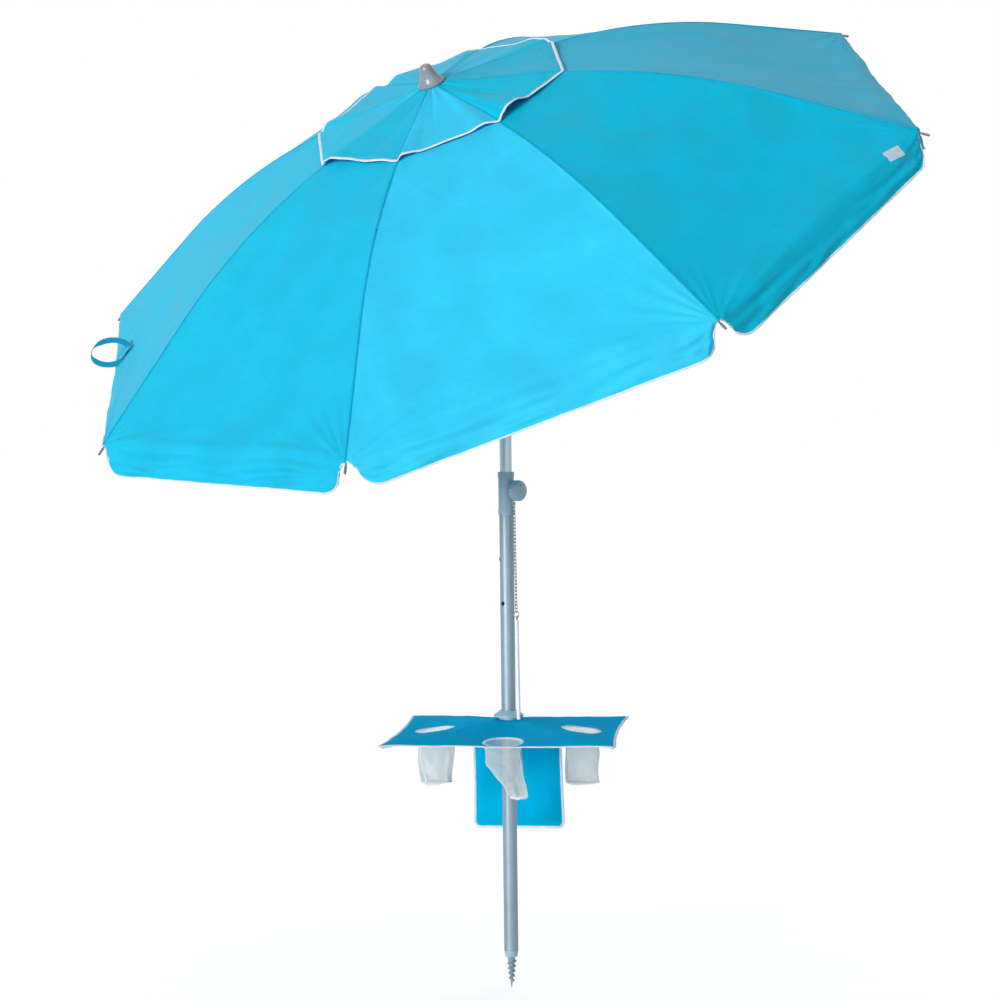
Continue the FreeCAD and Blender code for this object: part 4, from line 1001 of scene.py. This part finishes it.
def table_height(x, y):
    """Height of the table's cloth: a low pyramid over four arms, slack between them."""
    far, near = np.maximum(abs(x), abs(y)), np.minimum(abs(x), abs(y))
    between = 1 - near / np.maximum(far, 1e-6)
    slack = SLACK * smooth(between * SLACK_SPREAD) * smooth(far / SLACK_START)
    slack = slack * (1 - TIGHTER * smooth((far - TIGHT_FROM) / TIGHT_OVER))
    height = HUB_HEIGHT - FALL * far / HALF_SIDE - slack
    soft = sum(rough(size, seed, x, y, at) * depth for size, seed, at, depth in TABLE_FOLDS)
    for i, (sx, sy) in enumerate(((1, 1), (-1, 1), (-1, -1), (1, -1))):
        from_x, from_y = np.maximum(HALF_SIDE - sx * x, 0.0), np.maximum(HALF_SIDE - sy * y, 0.0)
        soft = soft + creases(from_x, from_y, 120 + i, 6, 4, 86, 0.0030)
    for cx, cy in CENTRES.values():
        ring = np.hypot(x - cx, y - cy) - CUP
        height = height - CUP_DIP * np.exp(-np.maximum(ring, 0) / DIP_REACH)
    return height + soft * smooth((far - FLAT_HUB) / FLAT_HUB)


def table_outline(count):
    """The table's edge: each side curves in between its corners."""
    t = np.linspace(-1, 1, count + 1)[:-1]
    reach, width = HALF_SIDE - EDGE_SAG * (1 - t * t), HALF_SIDE * t
    sides = []
    for side in range(4):
        c, s = math.cos(math.pi / 2 * side), math.sin(math.pi / 2 * side)
        sides.append(np.column_stack([reach * c - width * s, reach * s + width * c]))
    return np.concatenate(sides)


def ring_points(centre, radius, count):
    turn = np.linspace(0, 2 * math.pi, count, endpoint=False)
    return np.column_stack([centre[0] + radius * np.cos(turn), centre[1] + radius * np.sin(turn)])


def inside_table(points, margin):
    """Which places are on the cloth, by a margin from its outline and its holes."""
    x, y = points.T
    inside = np.ones(len(points), bool)
    for a, b in ((x, y), (y, x)):
        inside &= abs(a) <= HALF_SIDE - EDGE_SAG * (1 - (b / HALF_SIDE) ** 2) - margin
    for (cx, cy), radius in HOLES:
        inside &= np.hypot(x - cx, y - cy) > radius + margin
    return inside


def make_table_cloth():
    counts = [60] * len(CENTRES) + [40]
    loops = [table_outline(53), *[ring_points(*hole, count) for hole, count in zip(HOLES, counts)]]
    edges, first = [], 0
    for count in map(len, loops):
        edges += [(first + i, first + (i + 1) % count) for i in range(count)]
        first += count
    # Points in staggered rows, so that the triangles between them are nearly equilateral.
    i, j = [c.ravel() for c in np.mgrid[-GRID_REACH:GRID_REACH + 1, -GRID_REACH:GRID_REACH + 1]]
    grid = np.column_stack([(i + 0.5 * (j % 2)) * GRID_STEP, j * GRID_STEP * 0.866])
    flat = np.concatenate([*loops, grid[inside_table(grid, 0.005)]])
    found = delaunay_2d_cdt([Vector(p) for p in flat.tolist()], edges, [], 0, 1e-7)
    points, faces = np.array([tuple(v) for v in found[0]]), np.array(found[2])
    corners = points[faces]
    (x, y), (u, v) = (corners[:, 1] - corners[:, 0]).T, (corners[:, 2] - corners[:, 0]).T
    facing_down = x * v - u * y <= 0
    faces[facing_down] = faces[facing_down][:, ::-1]
    faces = faces[inside_table(corners.mean(1), 0.0)].tolist()
    solid = from_table(np.column_stack([points, table_height(*points.T)]))
    normals = corner_normals(solid, faces)
    piece = two_sided("table_cloth", solid, faces, normals, points, TABLE_THICK, "table")
    on_table(piece)
    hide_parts("table_top")
    trims = [table_trim("table_hem", loops[0] * HEM_SHRINK, 0.0062, 0.0026, 71)]
    for side, centre in CENTRES.items():
        rim = ring_points(centre, CUP + RIM_OUT, 72)
        trims.append(table_trim("cup_rim_" + side, rim, 0.0075, 0.0024, 72))


def table_trim(name, loop, width, thick, seed):
    """A bound edge on the table's cloth."""
    x, y = loop.T

    def slope(dx, dy):
        return (table_height(x - dx, y - dy) - table_height(x + dx, y + dy)) / (2 * SLOPE_REACH)

    tilt = np.column_stack([slope(SLOPE_REACH, 0), slope(0, SLOPE_REACH), np.ones(len(loop))])
    path = from_table(np.column_stack([loop, table_height(x, y)]))
    return on_table(bound(name, path, from_table(tilt), width, thick, 0.10, seed, True))


def on_table(piece):
    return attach(piece, "table")


# How each net pocket changes on the way down, from its ring at v = 0 to its floor at v = 1. Its
# left, right and depth have a start, then moves as (by, from, over), eased unless a power follows.
POCKETS = {
    "left": {
        "left": (-0.0405, (0.002, 0, 0.3), (0.006, 0.5, 0.5)),
        "right": (0.0425, (-0.001, 0, 0.2), (-0.005, 0.4, 0.6)),
        "depth": (0.0405, (-0.003, 0, 0.4), (-0.018, 0.7, 0.3)),
        "drop": 0.004, "seed": 41, "rim": 0.0045, "seam_at": 0.62, "seam": 0.004},
    "right": {
        "left": (-0.0400, (0.006, 0, 0.3)),
        "right": (0.0405, (-0.003, 0, 0.3)),
        "depth": (0.0405, (-0.006, 0, 0.4), (-0.020, 0.7, 0.3)),
        "drop": 0.002, "seed": 42, "rim": 0.0045, "seam_at": 0.46, "seam": 0.005},
    "front": {
        "left": (-0.0405, (0.003, 0, 0.25), (0.053, 0.40, 0.60, 0.85)),
        "right": (0.0405, (-0.005, 0, 0.2), (0.016, 0, 1, 1)),
        "depth": (0.0405, (-0.010, 0, 0.3), (-0.024, 0.3, 0.7)),
        "drop": 0.002, "seed": 43, "rim": 0.0065, "seam_at": -0.055, "seam": 0.0105},
}
STRANDS, STRAND_POINTS, STRAND_SWING = 42, 30, 0.44
STRAND_RING = [(0.000625, 0.0), (0.0, 0.0003), (-0.000625, 0.0), (0.0, -0.0003)]
RIM_POINTS, SEAM_POINTS = 72, 26
CRUSH, CRUSH_SCALE, CRUSH_START = 0.006, 0.36, 0.5          # dents that grow on the way down
UNDER_CLOTH, ABOVE_BOX, FLOOR_WAVE = 0.0006, 0.002, 0.003
NEAR_U, NEAR_V, STRAND_LIFT = 0.004, 0.02, 0.0002           # for the way a strand faces


def on_way_down(v, start, *moves):
    for by, begin, over, *power in moves:
        share = np.clip((v - begin) / over, 0, 1)
        start = start + by * (share ** power[0] if power else smooth(share))
    return start


def pocket_shape(side, u, v, floor):
    """A net pocket's surface: a ring at the top that goes slack and flattens lower down."""
    turn, (cx, cy), own = 2 * math.pi * u, CENTRES[side], POCKETS[side]
    left, right, depth = [on_way_down(v, *own[key]) for key in ("left", "right", "depth")]
    c, s = np.cos(turn), np.sin(turn)
    x, y = (left + right) / 2 + (right - left) / 2 * c, depth * s
    far = np.maximum(np.hypot(x, y), 0.01)
    crush = rough(CRUSH_SCALE, own["seed"], c * 0.6, s * 0.6, v * 0.8) * CRUSH
    crush = crush * smooth(v / CRUSH_START)
    x, y = x + crush * x / far, y + crush * y / far
    top = table_height(cx + x, cy + y) - UNDER_CLOTH
    bottom = floor + own["drop"] * np.cos(turn * 2 + 0.7) + FLOOR_WAVE * crush / CRUSH
    return from_table(np.column_stack([cx + x, cy + y, top * (1 - v) + bottom * v]))


def make_pocket(side):
    floor = float(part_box("cup_pocket_" + side)[0].z) + ABOVE_BOX
    own, parts, v = POCKETS[side], [], np.linspace(0, 1, STRAND_POINTS)
    for direction in (1, -1):
        for i in range(STRANDS):
            u = i / STRANDS + direction * STRAND_SWING * v
            path, left, right = [pocket_shape(side, u + by, v, floor)
                                 for by in (0, -NEAR_U, NEAR_U)]
            above, below = [pocket_shape(side, u, np.clip(v + by, 0, 1), floor)
                            for by in (-NEAR_V, NEAR_V)]
            normals = unit(np.cross(below - above, right - left))
            path = path + normals * STRAND_LIFT * direction
            parts.append(sweep(path, normals, STRAND_RING))
    net = make_piece("cup_net_" + side, *joined(parts), "net")
    on_table(net)
    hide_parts("cup_pocket_" + side)

    around = np.linspace(0, 1, RIM_POINTS + 1)[:-1]
    low = pocket_shape(side, around, np.full(RIM_POINTS, 0.995), floor)
    facing = unit(low - low.mean(0))
    trims = [bound("cup_seam_" + side, low, facing, own["rim"], 0.0014, 0.2, 44, True)]
    v = np.linspace(0.0, 1.0, SEAM_POINTS)
    path, ahead = [pocket_shape(side, own["seam_at"] + by + 0 * v, v, floor) for by in (0, NEAR_V)]
    normals = unit(np.cross(np.gradient(path, axis=0), ahead - path))
    path = path + normals * 0.0008
    trims.append(bound("cup_side_" + side, path, normals, own["seam"], 0.0016, 0.1, 45))
    trims.append(bottom_net(side, low))
    for trim in trims:
        on_table(trim)
    around, tall = 2 * math.pi * CUP, CUP_DEPTH


def bottom_net(side, low):
    """The flat bottom of a pocket, of the same net, between points of its rim."""
    count, parts = len(low), []
    for i in range(0, count // 2, 2):
        for a, b in ((i, -i % count), ((i + count // 4) % count, (count // 4 - i) % count)):
            if np.linalg.norm(low[a] - low[b]) > 0.004:
                path = np.array([low[a], (low[a] + low[b]) / 2 - (0, 0, 0.0015), low[b]])
                parts.append(sweep(path, np.array([Z] * 3), STRAND_RING))
    return make_piece("cup_floor_" + side, *joined(parts), "net")


# ------------------------------------------------------------------ pouch behind the pole
POUCH_LEFT, POUCH_RIGHT, POUCH_LOW, POUCH_HIGH = -0.111, 0.101, 0.237, 0.4938
POUCH_SEAM_Y, POUCH_CORNER, MOUTH_DROP = 0.23675, 0.011, 0.022
POUCH_COLUMNS, POUCH_ROWS = 40, 44
BINDING_SPACING = 0.006
POUCH_LEAN = 0.004, 0.007                                   # how far its sides lean in
POUCH_BOW, BOW_FROM, BOW_OVER = 0.0025, 0.07, 0.03          # and how far they bow in
POUCH_BELLY, SEWN_IN = 0.0045, 0.030
POUCH_FOLDS = ((0.055, 0, 0.22, 0.0034), (0.040, 2, 0.8, 0.0011))  # size, seed, tall, depth
RIDGE_X, RIDGE_Z, RIDGE_LEAN, RIDGE_RISE = 0.028, 0.36, 0.09, 0.0060  # the front's long fold
RIDGE_LEFT, RIDGE_RIGHT = 0.030, 0.070


def pouch_panel(name, top, outward, seed):
    """The front (outward 1) or the back (-1) of the pouch, with its grids of points and normals."""
    t = np.linspace(0, 1, POUCH_ROWS)[:, None]
    ends = (POUCH_LEFT + POUCH_LEAN[0] * t[:, 0],
            POUCH_RIGHT - POUCH_LEAN[1] * (1 - t[:, 0]) ** 2)
    x = np.linspace(*ends, POUCH_COLUMNS, axis=1)
    beside = np.minimum(x - x[:, :1], x[:, -1:] - x)
    cut = np.clip(POUCH_CORNER - beside, 0, POUCH_CORNER)
    lift = POUCH_CORNER - np.sqrt(np.maximum(POUCH_CORNER ** 2 - cut ** 2, 0))
    z = top + (POUCH_LOW + lift - top) * t
    off_middle = x - (POUCH_LEFT + POUCH_RIGHT) / 2
    pull = POUCH_BOW * np.sin(math.pi * t) * np.sign(off_middle)
    pull = pull * smooth((np.abs(off_middle) - BOW_FROM) / BOW_OVER)
    belly = POUCH_BELLY + sum(rough(size, seed + more, x, z * tall, seed) * depth
                              for size, more, tall, depth in POUCH_FOLDS)
    if outward > 0:
        from_ridge = x - RIDGE_X + RIDGE_LEAN * (z - RIDGE_Z)
        belly += RIDGE_RISE * np.where(from_ridge < 0, smooth(1 + from_ridge / RIDGE_LEFT),
                                       smooth(1 - from_ridge / RIDGE_RIGHT))
    sewn_down = smooth(beside / SEWN_IN) * smooth((z - POUCH_LOW) / SEWN_IN)
    y = POUCH_SEAM_Y - outward * belly * sewn_down
    points = np.dstack([x - pull, y, z])
    faces = [f[::outward] for f in quads(np.arange(x.size).reshape(x.shape))]
    solid = from_table(points.reshape(-1, 3))
    normals = corner_normals(solid, faces)
    uv = np.dstack([x + seed, z]).reshape(-1, 2)
    piece = two_sided(name, solid, faces, normals, uv, TABLE_THICK, "table")
    on_table(piece)
    return points, normals.reshape(points.shape)


def make_pouch():
    front, normals = pouch_panel("pouch_front", POUCH_HIGH - MOUTH_DROP, 1, 51)
    rear, _ = pouch_panel("pouch_back", POUCH_HIGH, -1, 57)
    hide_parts("pouch")
    run = np.concatenate([rear[:, 0], rear[-1, 1:-1], rear[::-1, -1]])
    run[:, 1] = POUCH_SEAM_Y
    path, facing = resample(run, np.repeat([[0, -1.0, 0]], len(run), 0), BINDING_SPACING)
    path, facing = from_table(path), from_table(facing)
    on_table(bound("pouch_binding", path, facing, 0.0064, 0.0030, 0.12, 61))
    path, facing = resample(front[0], normals[0], BINDING_SPACING)
    path = from_table(path)
    on_table(bound("pouch_mouth", path, facing, 0.0060, 0.0024, 0.12, 62))


make_table_cloth()
for pocket in CENTRES:
    make_pocket(pocket)
make_pouch()


# ------------------------------------------------------------------ floor and light
AMBIENT, FLOOR_GLOW = 0.30, 0.54
FLOOR_SIZE, FLOOR_GAP = 60.0, 0.001


def seen_or_lit(n, lit, seen):
    """One strength for the light on the object, and another for what is seen or mirrored."""
    path = n.add("LightPath")
    total = path.outputs["Is Camera Ray"]
    for kind in ("Is Glossy Ray", "Is Transmission Ray"):
        total = n.math("MAXIMUM", total, path.outputs[kind])
    return n.add("MapRange", {"Value": total, "To Min": lit, "To Max": seen}).outputs["Result"]


def make_stage():
    height = cad_box[0].z - FLOOR_GAP
    mesh = bpy.data.meshes.new("floor")
    corners = [(x * FLOOR_SIZE, y * FLOOR_SIZE, height)
               for x, y in ((-1, -1), (1, -1), (1, 1), (-1, 1))]
    mesh.from_pydata(corners, [], [(0, 1, 2, 3)])
    floor = bpy.data.objects.new("floor", mesh)
    scene.collection.objects.link(floor)
    n = Nodes("floor")
    mesh.materials.append(n.done({
        "Base Color": (0.86, 0.86, 0.86, 1), "Roughness": 0.9, "Specular IOR Level": 0.0,
        "Emission Color": (1, 1, 1, 1), "Emission Strength": seen_or_lit(n, 0.0, FLOOR_GLOW)}))
    scene.world = bpy.data.worlds.new("studio")
    n = Nodes("studio", scene.world, "Background")
    n.done({"Strength": seen_or_lit(n, AMBIENT, 1.0), "Color": (1, 1, 1, 1)})


def add_sun(name, toward, strength, spread, diffuse=True, gloss=True):
    data = bpy.data.lights.new(name, "SUN")
    data.energy = strength
    data.angle = math.radians(spread)
    lamp = bpy.data.objects.new(name, data)
    lamp.rotation_euler = Vector(toward).to_track_quat("Z", "Y").to_euler()
    lamp.visible_diffuse = diffuse
    lamp.visible_glossy = gloss
    scene.collection.objects.link(lamp)


make_stage()
add_sun("key", (0.071, -0.854, 0.060), 3.15, 25)
add_sun("back", (-0.3, 0.8, 0.5), 1.20, 60, gloss=False)
add_sun("softbox", (0.72, -0.69, 0.05), 1.3, 70, diffuse=False)
scene.view_settings.view_transform = "Standard"
